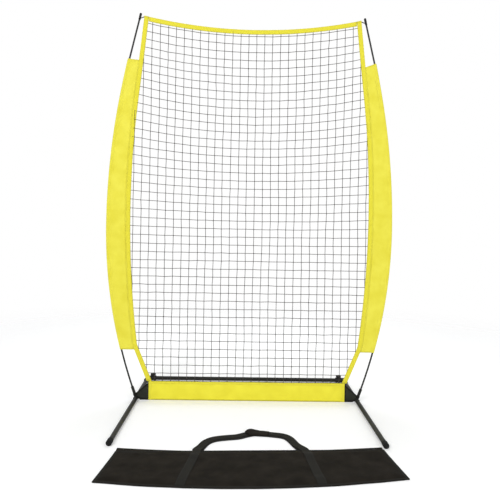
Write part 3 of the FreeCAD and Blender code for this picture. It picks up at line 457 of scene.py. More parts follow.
webbing_material("yellow_webbing", (0.71, 0.63, 0.038), (0.79, 0.72, 0.048), (0.66, 0.58, 0.04), 0.75, 0.2)
# painted shade: the band's lower hem is a darker, duller yellow
webbing_material("band_hem_painted_shade", (0.46, 0.41, 0.030), (0.62, 0.555, 0.038), (0.5, 0.45, 0.03), 0.8, 0.1)
webbing_material(
    "black_webbing", (0.008, 0.008, 0.007), (0.017, 0.016, 0.013), (0.022, 0.021, 0.019), 0.85, 0.12, 0.1
)
print("webbings:", [name for name in materials if "web" in name or "hem" in name])

# %% [markdown]
# Netting twine is two yarns laid round each other. Its strands carry a UV map too, with metres along the
# strand in U and the turn round it in V. Adding V to a fast sine of U makes the lay run round the strand as
# a helix, which costs nothing compared with modelling two yarns along every strand. The same sine darkens
# the colour in the grooves between the yarns, as painted shade.

# %% Material: netting twine
LAY = 1900.0          # radians of twist for each metre
tree, shader = new_material("net_twine")
split = add(tree, "ShaderNodeSeparateXYZ", {0: coordinates(tree, "UV")})
twist = maths(tree, "MULTIPLY_ADD", split.outputs[1], math.pi, maths(tree, "MULTIPLY", split.outputs[0], LAY))
lay = maths(tree, "ABSOLUTE", maths(tree, "SINE", twist))
# painted shade: the twine's colour is darker in the grooves between its yarns, where the lay is low
tone = colour(tree, lay, (0.022, 0.017, 0.015), (0.055, 0.045, 0.039))
feed(tree, shader, {"Base Color": tone, "Roughness": 0.7, "Specular IOR Level": 0.2})
hairs = cloudy(tree, coordinates(tree), 700.0, 3.0)
bump(tree, shader, maths(tree, "MULTIPLY_ADD", hairs, 0.4, lay), 0.0004, 0.8)
print("twine lay repeats every", round(math.pi / LAY * 1000, 2), "mm")

# %% [markdown]
# Hard finishes: satin black paint on the steel tubes, moulded plastic hubs and knobs, rubber caps, zinc
# studs and buttons, a dark steel ferrule and glass fibre. They differ in grain, gloss and metal, so one
# function makes them all from the shared grain and wear. Where no worn colour is given, it is the clean
# one made lighter.

# %% Material: paint, plastic, rubber, metal and glass fibre
def hard_material(name, clean, roughness, metallic=0.0, grain=2500.0, depth=0.0001, worn=None):
    """Hard surface with a fine grain and patches of dust or wear."""
    tree, shader = new_material(name)
    worn = worn or tuple(min(1.0, value * 1.5 + 0.008) for value in clean)
    look = place_group(
        tree, GRAINED, Vector=coordinates(tree), Grain=grain, Clean=clean, Worn=worn, Roughness=roughness
    )
    feed(tree, shader, {
        "Base Color": look["Color"],
        "Roughness": look["Roughness"],
        "Metallic": metallic,
        "Specular IOR Level": 0.5 if metallic else 0.2,
    })
    bump(tree, shader, look["Height"], depth, 0.6)


hard_material(
    "base_paint", (0.0085, 0.0085, 0.0075), 0.5, grain=1400.0, depth=0.00015, worn=(0.015, 0.015, 0.012)
)
hard_material("moulded_black", (0.009, 0.0085, 0.0085), 0.5, grain=900.0, depth=0.0002)
hard_material("cap_rubber", (0.006, 0.006, 0.006), 0.85, grain=700.0, depth=0.0003)
hard_material("zinc", (0.45, 0.45, 0.42), 0.32, metallic=1.0, worn=(0.6, 0.6, 0.56))
hard_material("ferrule_steel", (0.09, 0.09, 0.09), 0.35, metallic=1.0)
hard_material("glass_fibre", (0.012, 0.012, 0.011), 0.4, grain=500.0, depth=0.00008)
hard_material("zip_coil", (0.012, 0.012, 0.012), 0.5)
hard_material("zip_metal", (0.02, 0.02, 0.02), 0.35, metallic=0.6)
print(len(materials), "materials in all")

# %% [markdown]
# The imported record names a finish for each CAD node. Tubes, hubs, knobs, poles and the zip's slider keep
# their CAD mesh, so all they need is the material of that name in their object's slot.

# %% Finish the CAD nodes
finished = 0
for entry in frame["record"]["subparts"]:
    for material_slot in bpy.data.objects[entry["node"]].material_slots:
        material_slot.material = materials.get(entry["material_slot"], materials["moulded_black"])
        finished += 1
print("finished", finished, "CAD slots")

# %% [markdown]
# Every soft piece is made the same way: a list of points, a list of faces and a UV for each point. Primitive
# shapes could be bent into place, but here each curve is known as a formula, so points are placed on it
# directly.


def placed(name, data):
    """New object of the scene around a mesh, a lamp or a camera."""
    thing = bpy.data.objects.new(name, data)
    bpy.context.collection.objects.link(thing)
    return thing


def new_piece(name, points, faces, material, node=None, uvs=None, body="frame", smooth=True):
    """Mesh object that rides on a body, takes a record slot and may replace a CAD node."""
    mesh = bpy.data.meshes.new(name)
    mesh.from_pydata([tuple(point) for point in points], [], faces)
    if uvs is not None:
        layer = mesh.uv_layers.new(name="strip")
        for loop in mesh.loops:
            layer.data[loop.index].uv = uvs[loop.vertex_index]
    mesh.polygons.foreach_set("use_smooth", [smooth] * len(mesh.polygons))
    piece = placed(name, mesh)
    mesh.materials.append(materials[material])
    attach(piece, body)
    if node:
        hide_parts(node)
    return piece


# %% [markdown]
# Most shapes here are points laid out in rows: a grid for cloth, a closed tube with two caps for strands,
# strips and the grip. Blender's own grid and cylinder would need every point moved afterwards, so the faces
# are found by counting instead, and the points go straight to their places.

# %% Helpers: faces by counting, even steps and lengths
def grid_faces(rows, columns, wrap=False):
    """Quads between the rows of a grid; wrap joins each row's end to its start."""
    faces = []
    for row in range(rows - 1):
        for column in range(columns if wrap else columns - 1):
            here, beside = row * columns + column, row * columns + (column + 1) % columns
            faces.append((here, beside, beside + columns, here + columns))
    return faces


def tube_faces(rows, columns):
    """Faces of a closed tube: quads round it and a cap at each end."""
    caps = [tuple(range(columns))[::-1], tuple(range((rows - 1) * columns, rows * columns))]
    return grid_faces(rows, columns, wrap=True) + caps


def shifted(faces, first):
    """The same faces for a copy whose points begin at another number."""
    return [tuple(first + corner for corner in face) for face in faces]


def spread(low, high, count):
    """Evenly spaced numbers, both ends included."""
    return [low + (high - low) * k / (count - 1) for k in range(count)]


def path_length(path):
    return sum((b - a).length for a, b in zip(path, path[1:]))


print("a grid of 3 by 3 points has", len(grid_faces(3, 3)), "faces, a tube of them", len(tube_faces(3, 3)))

# %% [markdown]
# Cloth is thin but not flat, and its cut edges are seen. A single layer of faces is the easiest to place,
# and the Solidify modifier then gives it a true thickness. Its result is kept as the mesh, so that what is
# measured and exported is what is seen.

# %% Helper: thickness for a layer of cloth
def thickened(piece, thickness, offset):
    modifier = piece.modifiers.new("solidify", "SOLIDIFY")
    modifier.thickness, modifier.offset = thickness, offset
    graph = bpy.context.evaluated_depsgraph_get()
    graph.update()
    thick = bpy.data.meshes.new_from_object(piece.evaluated_get(graph))
    thin = piece.data
    piece.modifiers.clear()
    piece.data = thick
    bpy.data.meshes.remove(thin)
    return piece


print("thickness helper ready")

# %% [markdown]
# A strip of webbing is a small closed section carried along two rails, one for each edge. Flat webbing has
# a rounded rectangle for its section. The webbing that borders the net is folded in two round the mesh, so
# its section is an open U with the fold on the outside, which is what makes its edge look soft and full.

# %% Sections of webbing
FOLD = [-math.pi / 2 + math.pi * k / 6 for k in range(7)]     # half a turn in six steps


def flat_section(width, thickness):
    """Rounded rectangle, as (across from 0 to 1, depth) pairs."""
    half = thickness / 2
    loop = [(1 - half / width + half / width * math.cos(turn), half * math.sin(turn)) for turn in FOLD]
    loop += [(share, half) for share in (0.8, 0.6, 0.4, 0.2)]
    return loop + [(1 - share, -depth) for share, depth in loop]


def folded_section(width, thickness, wall=0.0011):
    """Webbing folded round an edge: open at 0, its fold at 1."""
    half = thickness / 2
    slim = half - wall
    flats = [(k / 4 * (1 - half / width), -half) for k in range(4)]
    loop = flats + [(1 - half / width * (1 - math.cos(turn)), half * math.sin(turn)) for turn in FOLD]
    loop += [(share, half) for share, depth in reversed(flats)] + [(0.0, slim), (0.5, slim)]
    for turn in FOLD[::-3]:
        share = 1 - half / width * (1 - math.cos(turn)) - wall / width * math.cos(turn)
        loop.append((share, slim * math.sin(turn)))
    return loop + [(0.5, -slim), (0.0, -slim)]


print("points in the sections:", len(flat_section(WEB, 0.002)), len(folded_section(WEB, 0.004)))

# %% [markdown]
# Sewn webbing is never quite even: it swells between stitches and ripples out of its plane. Two noises with
# a seed of their own for each strip give that, so no two strips are the same, and the one random seed above
# makes them come out alike on every run.

# %% Helper: a strip of webbing
def strip_piece(name, rails, thickness, material, node=None, ripple=0.0, body="frame", section=flat_section):
    """Webbing between two rails, as a closed strip; on the bag it lies flat, on the net it stands."""
    normal = Vector((0, 0, 1)) if body == "bag" else Vector((0, 1, 0))
    points, uvs, length = [], [], 0.0
    seed = random.random() * 50
    for index, (left, right) in enumerate(zip(*rails)):
        left, right = Vector(left), Vector(right)
        if index:
            length += ((left + right) / 2 - previous).length
        previous = (left + right) / 2
        for across, depth in section(max((right - left).length, 1e-4), thickness):
            wave = ripple * noise.noise((length * 28, across * 1.5, seed))
            swell = 1.0 + 0.18 * noise.noise((length * 70, across * 3, seed + 9))
            points.append(left.lerp(right, across) + normal * (depth * swell + wave))
            uvs.append((length, across))
    faces = tube_faces(len(rails[0]), len(points) // len(rails[0]))
    return new_piece(name, points, faces, material, node, uvs, body)


print("strip helper ready")

# %% [markdown]
# The camera stands where the photographer stood: about three metres in front of the net, near half its
# height and level. A slight roll follows the photograph. The lens is given by its focal length in pixels
# over the picture's width, and the small shift moves the frame down without tilting the camera.

# %% Camera
FOCAL_PIXELS, PICTURE_PIXELS = 533.3, 500
camera = bpy.context.scene.camera = placed("camera", bpy.data.cameras.new("camera"))
camera.data.sensor_width = 36
camera.data.lens = camera.data.sensor_width * FOCAL_PIXELS / PICTURE_PIXELS
camera.data.shift_y = -0.0526
camera.data.clip_end = 100
camera.location = (-0.048, NET_Y - 2.950, 0.983)
camera.rotation_euler = (math.radians(90), math.radians(-1.0), math.radians(-0.96))
print("camera", round(NET_Y - camera.location.y, 2), "m away, lens", round(camera.data.lens, 1), "mm")

# %% [markdown]
# The photograph has soft, even studio light with hardly a shadow. Three large round lamps do that: a key
# from the upper left, far enough away to light top and bottom alike, a weak fill from the right, and one
# behind for the back of the cloth. Their power is set so that a colour renders about as it is written.

# %% Lamps
def lamp(name, power, place, target, size):
    data = bpy.data.lights.new(name, "AREA")
    data.energy, data.shape, data.size = power, "DISK", size
    thing = placed(name, data)
    thing.location = place
    thing.rotation_euler = (Vector(target) - Vector(place)).to_track_quat("-Z", "Y").to_euler()


lamp("key", 154, (-2.1, NET_Y - 5.0, 3.2), (0, NET_Y, 0.8), 1.8)
lamp("fill", 40, (2.6, NET_Y - 3.4, 1.8), (0, NET_Y, 0.9), 2.4)
lamp("back", 44, (0.3, NET_Y + 2.2, 3.2), (0, NET_Y, 0.9), 2.4)
bpy.context.scene.view_settings.view_transform = "Standard"
print("three lamps")

# %% [markdown]
# The background is plain white, but a world bright enough to look white would also flood the object with
# light. The Light Path node tells apart the rays that see the world from those that only carry its light:
# camera, glossy and transmission rays meet pure white, all the others a dimmer sky.

# %% World
def seen_directly(tree):
    """1 for rays that show the background itself, 0 for those that only light things."""
    ray = add(tree, "ShaderNodeLightPath").outputs
    seen = maths(tree, "MAXIMUM", ray["Is Camera Ray"], ray["Is Glossy Ray"])
    return maths(tree, "MAXIMUM", seen, ray["Is Transmission Ray"])


world = bpy.data.worlds.new("white_studio")
bpy.context.scene.world = world
world.use_nodes = True
tree = world.node_tree
tree.nodes.clear()
white = add(tree, "ShaderNodeBackground", {"Color": (1, 1, 1), "Strength": 1.0})
sky = add(tree, "ShaderNodeBackground", {"Color": (0.96, 0.98, 1.0), "Strength": 0.52})
mix = add(tree, "ShaderNodeMixShader", {0: seen_directly(tree), 1: sky.outputs[0], 2: white.outputs[0]})
add(tree, "ShaderNodeOutputWorld", {0: mix.outputs[0]})
print("world lights at", sky.inputs["Strength"].default_value)

# %% [markdown]
# The floor is white paper. Lit by the lamps alone it would be a pale grey with a visible far edge, so a
# faint glow for directly seen rays lifts it to white, and it turns transparent with distance and melts into
# the background. Shadows still fall on it, because the glow only adds the last fifth.

# %% Floor
FLOOR_GLOW = (0.15, 0.24)     # near the net, and from 1.7 m on
FLOOR_FADE = (1.6, 4.2)       # distances between which it fades
mesh = bpy.data.meshes.new("floor")
mesh.from_pydata([(-8, -8, 0), (8, -8, 0), (8, 8, 0), (-8, 8, 0)], [], [(0, 1, 2, 3)])
floor = placed("floor", mesh)
floor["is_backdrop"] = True
tree, shader = new_material("white_paper")
feed(tree, shader, {"Base Color": (0.9, 0.9, 0.9), "Roughness": 0.9})
reach = add(tree, "ShaderNodeVectorMath", {0: coordinates(tree)}, operation="LENGTH").outputs["Value"]
strength = maths(tree, "MULTIPLY", seen_directly(tree), ramp(tree, reach, 0.5, 1.7, *FLOOR_GLOW))
glow = add(tree, "ShaderNodeEmission", {"Color": (1, 1, 1), "Strength": strength})
paper = add(tree, "ShaderNodeAddShader", {0: shader.outputs[0], 1: glow.outputs[0]})
clear = add(tree, "ShaderNodeBsdfTransparent")
far = ramp(tree, reach, *FLOOR_FADE, smooth=True)
faded = add(tree, "ShaderNodeMixShader", {0: far, 1: paper.outputs[0], 2: clear.outputs[0]})
feed(tree, tree.nodes["Material Output"], {"Surface": faded.outputs[0]})
mesh.materials.append(materials["white_paper"])
print("floor fades out from", FLOOR_FADE[0], "to", FLOOR_FADE[1], "m")

# %% [markdown]
# The mesh of the net is knotted twine on a square of 1 3/4 inches. A grid texture with holes would be quick,
# but it is flat and its lines break up at an angle. So each strand is real: first a function that says where
# a knot sits. The upper rows hang parallel to the curved hem and the lower rows run level, as in the
# photograph, and noise moves each knot a millimetre or two, because tied netting is never exact.

# %% Where the knots sit
JITTER = 0.0022       # how far noise moves a knot
FIRST_ROW = 0.012     # from the hem's edge down to the row numbered 0
CURVE_FROM, CURVE_OVER = 0.70, 1.05      # the rows start to follow the hem here, and do so fully further up


def clamped(value):
    return min(max(value, 0.0), 1.0)


def eased(value):
    """Soft step from 0 to 1."""
    value = clamped(value)
    return value * value * (3 - 2 * value)


def knot_spot(column, row):
    """Place of a knot; columns count from the middle, rows down from the hem."""
    jitter = Vector((column * 1.7, row * 1.3, 0.5))
    x = column * MESH + JITTER * noise.noise(jitter)
    x += 0.0035 * noise.noise((column * 0.21, row * 0.17, 8.0))
    z = HEM_LOW - FIRST_ROW - row * MESH
    z += eased((z - CURVE_FROM) / CURVE_OVER) * (hem_z(x) - HEM_LOW)
    z += JITTER * noise.noise(jitter + Vector((31, 7, 2)))
    depth = JITTER * noise.noise((x * 3.1, z * 2.3, 4.0))
    return Vector((x, NET_Y + depth, z))


print("middle knot of the top row at", rounded(knot_spot(0, 0)))

# %% [markdown]
# Strands have to end inside the folded webbing, where they are sewn in. Each line of knots is tested against
# the outline, and the last stretch is halved again and again until it ends just past the webbing's edge.

# %% Where the strands end
TUCK = 0.012          # how far a strand reaches into the webbing


def inside_net(spot, tuck=TUCK):
    if spot.z < BAND_TOP - tuck or abs(spot.x) > edge_x(spot.z, tuck):
        return False
    return spot.z < hem_z(spot.x, tuck)


def sewn_end(kept, lost):
    """Point between an inner and an outer knot where the strand ends."""
    for _ in range(14):
        middle = (kept + lost) / 2
        if inside_net(middle):
            kept = middle
        else:
            lost = middle
    return kept


def sewn_in(line):
    """The part of a line of knots that lies in the net, with its two sewn ends."""
    run = []
    for index, spot in enumerate(line):
        if inside_net(spot):
            if not run and index:
                run.append(sewn_end(spot, line[index - 1]))
            run.append(spot)
        elif run:
            return run + [sewn_end(run[-1], spot)]
    return run


COLUMNS, ROWS = range(-16, 17), range(-3, 46)
lines = [[knot_spot(column + 0.5, row) for row in ROWS] for column in COLUMNS]
lines += [[knot_spot(column + 0.5, row) for column in COLUMNS] for row in ROWS]
lines = [line for line in map(sewn_in, lines) if len(line) > 1]
print(len(lines), "strands,", round(sum(map(path_length, lines)), 1), "m of twine")

# %% [markdown]
# A strand is a tube with only five sides. At three millimetres across more sides would not be seen, but
# there are thousands of stretches, and each side adds to the file. The tube's UV carries the metres along
# it, which is what turns the twine's lay in its material.

# %% Lay the strands
TWINE = 0.0016        # radius of the twine
SIDES = 5
points, faces, uvs = [], [], []
for line in lines:
    first, travel = len(points), 0.0
    for index, spot in enumerate(line):
        if index:
            travel += (spot - line[index - 1]).length
        ahead = (line[min(index + 1, len(line) - 1)] - line[max(index - 1, 0)]).normalized()
        across = ahead.cross(Vector((0, 1, 0))).normalized()
        for side in range(SIDES):
            turn = 2 * math.pi * side / SIDES
            points.append(spot + TWINE * (across * math.cos(turn) + Vector((0, math.sin(turn), 0))))
            uvs.append((travel, side / SIDES))
    faces += shifted(tube_faces(len(line), SIDES), first)
print("strands have", len(faces), "faces")

# %% [markdown]
# Where two twines cross they are tied, and the knot is about twice as thick as the twine. A lump of ten
# corners, turned by chance about the line of sight, gives each crossing its own small dark dot, which is
# what makes netting look tied and not printed.

# %% Tie the knots
LUMP = [
    (-1, 0, 0), (1, 0, 0), (0, -1, 0), (0, 1, 0), (0, 0, -1), (0, 0, 1),
    (-0.6, -0.6, 0.55), (0.6, -0.6, -0.55), (0.6, 0.6, 0.55), (-0.6, 0.6, -0.55),
]
LUMP_FACES = [
    (0, 6, 5), (0, 2, 6), (2, 5, 6), (1, 7, 2), (1, 4, 7), (2, 7, 4), (1, 5, 8), (1, 8, 3), (3, 8, 5),
    (0, 3, 9), (0, 9, 4), (3, 4, 9), (0, 5, 3), (0, 4, 2), (1, 2, 5), (1, 3, 4),
]
KNOT_WIDE, KNOT_DEEP = 0.0031, 0.0026
knots = 0
for spot in (knot_spot(column + 0.5, row) for column in COLUMNS for row in ROWS):
    if not inside_net(spot, 0.002):
        continue
    first, turn = len(points), random.uniform(0, math.pi)
    for x, y, z in LUMP:
        wide = x * math.cos(turn) - z * math.sin(turn)
        high = x * math.sin(turn) + z * math.cos(turn)
        points.append(spot + Vector((wide * KNOT_WIDE, y * KNOT_DEEP, high * KNOT_WIDE)))
        uvs.append((x * 0.003, z * 0.5))
    faces += shifted(LUMP_FACES, first)
    knots += 1
new_piece("net_strands", points, faces, "net_twine", "net_mesh", uvs)
print(knots, "knots tied")

# %% [markdown]
# Yellow webbing is folded over the edge of the mesh and sewn through. Each side is one long strip with a
# kink above the bottom band, and its two rails come straight from the outline: one on the net's edge, one a
# webbing's width further out. The rails rise in step, so the strip stays square to the edge.

# %% Side bindings
WEB_THICK = 0.0042
BOTH = {"left": -1, "right": 1}


def in_net(x, z, y=0.0):
    """Point in the net's plane, or a little off it."""
    return Vector((x, NET_Y + y, z))


inner_top, outer_top = top_corner(0, WEB), top_corner(WEB, WEB)
for name, side in BOTH.items():
    inner, outer = [], []
    for share in spread(0, 1, 110):
        z_in = BAND_TOP + (inner_top[1] - BAND_TOP) * share
        z_out = BAND_TOP + (outer_top[1] - BAND_TOP) * share
        inner.append(in_net(side * edge_x(z_in), z_in))
        outer.append(in_net(side * edge_x(z_out, WEB), z_out))
    binding = strip_piece(
        f"net_binding_{name}", (inner, outer), WEB_THICK, "yellow_webbing", f"side_binding_{name}", 0.0012,
        section=folded_section,
    )
print("side bindings", round(path_length(outer), 3), "m long")

# %% [markdown]
# The top hem is the same folded webbing, sagging between the two pole tips. Its rails follow the hem's arc
# and the same arc moved up, and it runs from corner to corner over the ends of the side bindings.

# %% Top hem
lower, upper = [], []
for share in spread(-1, 1, 90):
    x_low, x_high = share * inner_top[0], share * top_corner(0, WEB)[0]
    lower.append(in_net(x_low, hem_z(x_low)))
    upper.append(in_net(x_high, hem_z(x_high, WEB)))
hem = strip_piece(
    "net_hem", (lower, upper), WEB_THICK, "yellow_webbing", "top_hem", 0.0014, section=folded_section
)
print("hem sags", round((hem_z(inner_top[0]) - hem_z(0)) * 1000), "mm")

# %% [markdown]
# The bottom band is a wide strip of doubled cloth that closes the gap above the ground. Stretched cloth is
# nearly flat, so a simulation would change little. A grid with two soft noises gives the long pulls and the
# small puckers, and both fade out at the top and bottom, where the seams hold the cloth.

# %% Bottom band
GROUND_GAP = 0.0025   # the cloth's edge hangs just off the ground
BAND_CLOTH = 0.0034   # two layers with their turned edges
rows, columns = 15, 121
points, uvs = [], []
for row in range(rows):
    v = row / (rows - 1)
    for x in spread(-BAND_HALF, BAND_HALF, columns):
        wave = 0.0016 * noise.noise((x * 9, v * 1.4, 3.0))
        wave += 0.0009 * noise.noise((x * 30, v * 4, 5.0))
        z = GROUND_GAP + v * (BAND_TOP - 0.0028)
        if row == 0:
            z += 0.0015 + 0.0012 * noise.noise((x * 6, 0, 1.0))
        points.append(in_net(x, z, wave * math.sin(math.pi * min(max(v, 0.05), 0.95))))
        uvs.append((x, v))
band = new_piece("net_band", points, grid_faces(rows, columns), "yellow_band", "bottom_band", uvs)
thickened(band, BAND_CLOTH, 0.0)
print("band", round(2 * BAND_HALF, 3), "by", BAND_TOP, "m")

# %% [markdown]
# The band's edges are turned in and sewn: a narrow seam at the top, a hem at the bottom darkened as painted
# shade and a wider turning at each end. They stand proud of the cloth by less than a millimetre, enough to
# catch the light.

# %% Seams of the band
for name, low, high, finish in (
    ("top", BAND_TOP - 0.016, BAND_TOP - 0.001, "yellow_webbing"),
    # the bottom hem takes the darker yellow of painted shade
    ("bottom", 0.0022, 0.0095, "band_hem_painted_shade"),
):
    ends = spread(-BAND_HALF + 0.001, BAND_HALF - 0.001, 110)
    rails = ([in_net(x, low) for x in ends], [in_net(x, high) for x in ends])
    strip_piece(f"band_seam_{name}", rails, 0.0048, finish, ripple=0.0004)
for name, side in BOTH.items():
    heights = spread(0.003, BAND_TOP - 0.002, 22)
    rails = [[in_net(side * x, z) for z in heights] for x in (BAND_HALF - 0.0175, BAND_HALF + 0.0005)]
    strip_piece(f"band_end_{name}", rails[::side], 0.0052, "yellow_webbing", ripple=0.0006)

# %% [markdown]
# Each sleeve is one piece of yellow cloth that goes from the side binding round the pole and back, so in
# section it is a flat loop with a round channel at its outer end. Here it is lofted from such sections at
# 130 heights. Noise that dies away at the seam and at the pole gives the pulls of stretched cloth between.

# %% Section of a sleeve
CHANNEL = 0.0072      # radius of the pole's channel
LAYER = 0.0013        # half the gap between front and back
SLEEVE_CLOTH = 0.0006
FLATS = 9


def sleeve_section(z, side):
    """One closed turn of the sleeve's cloth: front layer, round the pole, back layer."""
    seam, pole = edge_x(z, WEB) - 0.003, pole_x(z)
    flats = spread(seam, pole - CHANNEL * 2.1, FLATS)
    turn = [(x, -LAYER if k else 0.0) for k, x in enumerate(flats)]
    for k in range(13):
        angle = math.radians(-140 + 280 * k / 12)
        turn.append((pole + CHANNEL * math.cos(angle), CHANNEL * math.sin(angle)))
    turn += [(x, LAYER) for x in flats[:0:-1]]
    points = []
    for x, y in turn:
        share = clamped((x - seam) / (pole - seam))
        pull = 0.0016 * noise.noise((x * 16 + z * 22, z * 9, side * 3.0))
        pull += 0.0022 * noise.noise((x * 7, z * 3.2, side * 5.0))
        points.append(in_net(side * x, z, y + math.sin(math.pi * share) * pull))
    return points


print("a sleeve's section has", len(sleeve_section(1.0, 1)), "points")

# %% [markdown]
# The sleeves' ends are raw hemmed edges that don't lie level. The pole drags the cloth up on its own side
# by a centimetre, more on the right than on the left, so the last fifth of a metre is slanted a little.

# %% Sleeves
SLANT = {"left": (0.003, 0.008), "right": (-0.010, 0.010)}     # lift at the binding and at the pole
for name, side in BOTH.items():
    heights = spread(SLEEVE_LOW, SLEEVE_HIGH, 130)
    points, uvs = [], []
    for z in heights:
        section = sleeve_section(z, side)
        ragged = 0.0
        if z in (heights[0], heights[-1]):
            ragged = 0.0016 * noise.noise((heights.index(z) * 0.7, side, 2.0))
        slant = max((z - SLEEVE_HIGH) / 0.2 + 1.0, 0.0) ** 2
        for number, spot in enumerate(section):
            share = clamped((abs(spot.x) - edge_x(z, WEB)) / (pole_x(z) - edge_x(z, WEB)))
            at_edge, at_pole = SLANT[name]
            spot.z += ragged + slant * (at_edge + (at_pole - at_edge) * share)
            points.append(spot)
            uvs.append((z, number / len(section)))
    faces = [face[::-side] for face in grid_faces(len(heights), len(section), wrap=True)]
    sleeve = new_piece(f"pole_sleeve_{name}", points, faces, "yellow_cloth", f"side_sleeve_{name}", uvs)
    thickened(sleeve, SLEEVE_CLOTH, -1.0)
print("sleeves", round(SLEEVE_HIGH - SLEEVE_LOW, 3), "m high")

# %% [markdown]
# Two rows of sewing run down each sleeve: one joins it to the binding, the other makes the pole's channel.
# The first is a little thicker than the webbing and straddles its edge, so no dark groove shows there.

# %% Seams of the sleeves
for name, side in BOTH.items():
    top = SLEEVE_HIGH - (0.011 if side > 0 else 0.001)
    for label, half, thick in (("inner", 0.0042, 0.0048), ("outer", 0.0022, 0.0030)):
        near, far = [], []
        for z in spread(SLEEVE_LOW + 0.002, top, 120):
            x = edge_x(z, WEB) - 0.0006 if label == "inner" else pole_x(z) - 0.0155
            near.append(in_net(side * (x - half), z))
            far.append(in_net(side * (x + half), z))
        label = f"sleeve_seam_{label}_{name}"
        strip_piece(label, (near, far)[::side], thick, "yellow_cloth", ripple=0.0005)
print("sleeve seams sewn")

# %% [markdown]
# At each bottom corner a black webbing loop slips over the pole's socket, and two ties at the top do the
# same on the poles. All four are a band round an axis, so one helper carries a small rounded section round
# a circle. A torus would have the wrong section: webbing is flat and only its edges are soft.

# %% Helper: a loop of webbing round an axis
RING_SIDES = 28


def ring_piece(name, centre, axis, radius, wall, width, node):
    """Flat black band round an axis, from its centre along the axis."""
    across = axis.cross(Vector((0, 1, 0))).normalized()
    deep = axis.cross(across).normalized()
    section = [
        (0, radius), (width * 0.5, radius - 0.0002), (width, radius), (width, radius + wall * 0.8),
        (width * 0.85, radius + wall), (width * 0.15, radius + wall), (0, radius + wall * 0.8),
    ]
    points, uvs = [], []
    for k in range(RING_SIDES):
        turn = 2 * math.pi * k / RING_SIDES
        ray = across * math.cos(turn) + deep * math.sin(turn)
        for along, reach in section:
            points.append(centre + axis * along + ray * reach)
            uvs.append((turn * radius, along / width))
    round_it = grid_faces(RING_SIDES + 1, len(section), wrap=True)
    faces = [tuple(corner % len(points) for corner in face) for face in round_it]
    return new_piece(name, points, faces, "black_webbing", node, uvs)


print("loop helper ready")

# %% [markdown]
# The gusset is a small triangle of heavy black cloth between the band's end and the loop on the socket. It
# carries the pull of the whole corner. Its four corners are known, so a grid is spread between them and
# bulged by a millimetre, and the point at the socket is blunt, where the cloth is sewn to the loop.

# %% Corner loops and gussets
TUBE, PLATE, GAP = 0.0111, 0.002, 0.0003
SADDLE = TUBE + PLATE + GAP           # from the leg's axis to the foot of the socket
SOCKET_HALF = 0.033                   # half its length: it leans as the pole does at its middle
SOCKET_RADIUS, LOOP_WIDTH = 0.0081, 0.013
LOOP_WALL = 0.0013                    # one layer of webbing, here and at the ties
GUSSET_CLOTH = 0.0018
SOCKET_LEAN = math.asin(LOWER_RISE / LOWER_BEND) - SOCKET_HALF / LOWER_BEND
corners = {}
for name, side in BOTH.items():
    up_socket = Vector((side * math.sin(SOCKET_LEAN), 0, math.cos(SOCKET_LEAN)))
    foot = Vector((side * LEG_X, NET_Y, AXIS_Z)) + up_socket * SADDLE
    loop_size = SOCKET_RADIUS, LOOP_WALL, LOOP_WIDTH
    ring_piece(f"socket_loop_{name}", foot, up_socket, *loop_size, f"corner_loop_{name}")
    low_tip = foot + Vector((-side * up_socket.z, 0, abs(up_socket.x))) * 0.0090
    high_tip = low_tip + up_socket * LOOP_WIDTH
    low_end, high_end = (in_net(side * (BAND_HALF - 0.002), z) for z in (GROUND_GAP, BAND_TOP - 0.005))
    corners[name] = low_end, high_end, low_tip, high_tip
    rows, columns, points = 9, 12, []
    for v in spread(0, 1, rows):
        for u in spread(0, 1, columns):
            low = low_end.lerp(low_tip, u)
            low.z = GROUND_GAP + (low_tip.z - GROUND_GAP) * max(0.0, u - 0.75) / 0.25
            spot = low.lerp(high_end.lerp(high_tip, u), v)
            bulge = math.sin(math.pi * u) * math.sin(math.pi * v)
            spot.y += 0.0012 * bulge * noise.noise((u * 3, v * 3, side))
            points.append(spot)
    faces = [face[::-side] for face in grid_faces(rows, columns)]
    gusset = new_piece(f"gusset_cloth_{name}", points, faces, "gusset_cloth", f"corner_gusset_{name}")
    thickened(gusset, GUSSET_CLOTH, 0.0)
print("gussets reach", round(abs(low_tip.x) - BAND_HALF, 3), "m out from the band")

# %% [markdown]
# Black webbing edges the gusset on three sides: a line along the ground, one up beside the band and one down
# the slanting edge, which is the tape that really takes the load. Each is a strip between two corners.

# %% Edges of the gussets
for name, (low_end, high_end, low_tip, high_tip) in corners.items():
    fold = Vector((BOTH[name] * 0.003, 0, 0))
    for label, a, b, width in (
        ("lower", low_end + Vector((0, 0, 0.0015)), in_net(low_tip.x, 0.008), 0.009),
        ("upper", high_end, high_tip, -0.009),
        ("inner", low_end + fold, high_end + fold, 0.006),
    ):
        lift = Vector((0, 1, 0)).cross((b - a).normalized()).normalized()
        if lift.z < 0:
            lift = -lift
        spots = [a.lerp(b, t) for t in spread(0, 1, 14)]
        rails = (spots, [spot + lift * width for spot in spots])
        strip_piece(f"gusset_edge_{label}_{name}", rails, 0.0028, "black_webbing")
    gusset = bpy.data.objects[f"gusset_cloth_{name}"]
print("gussets edged")

# %% [markdown]
# The net's top corners are held by thin black ties. Each has an eye that grips the pole under its tip cap
# and a short flat strap to the corner of the webbing. The pull of the bent poles keeps the strap tight, so
# it is a straight strip that narrows a little towards the eye.

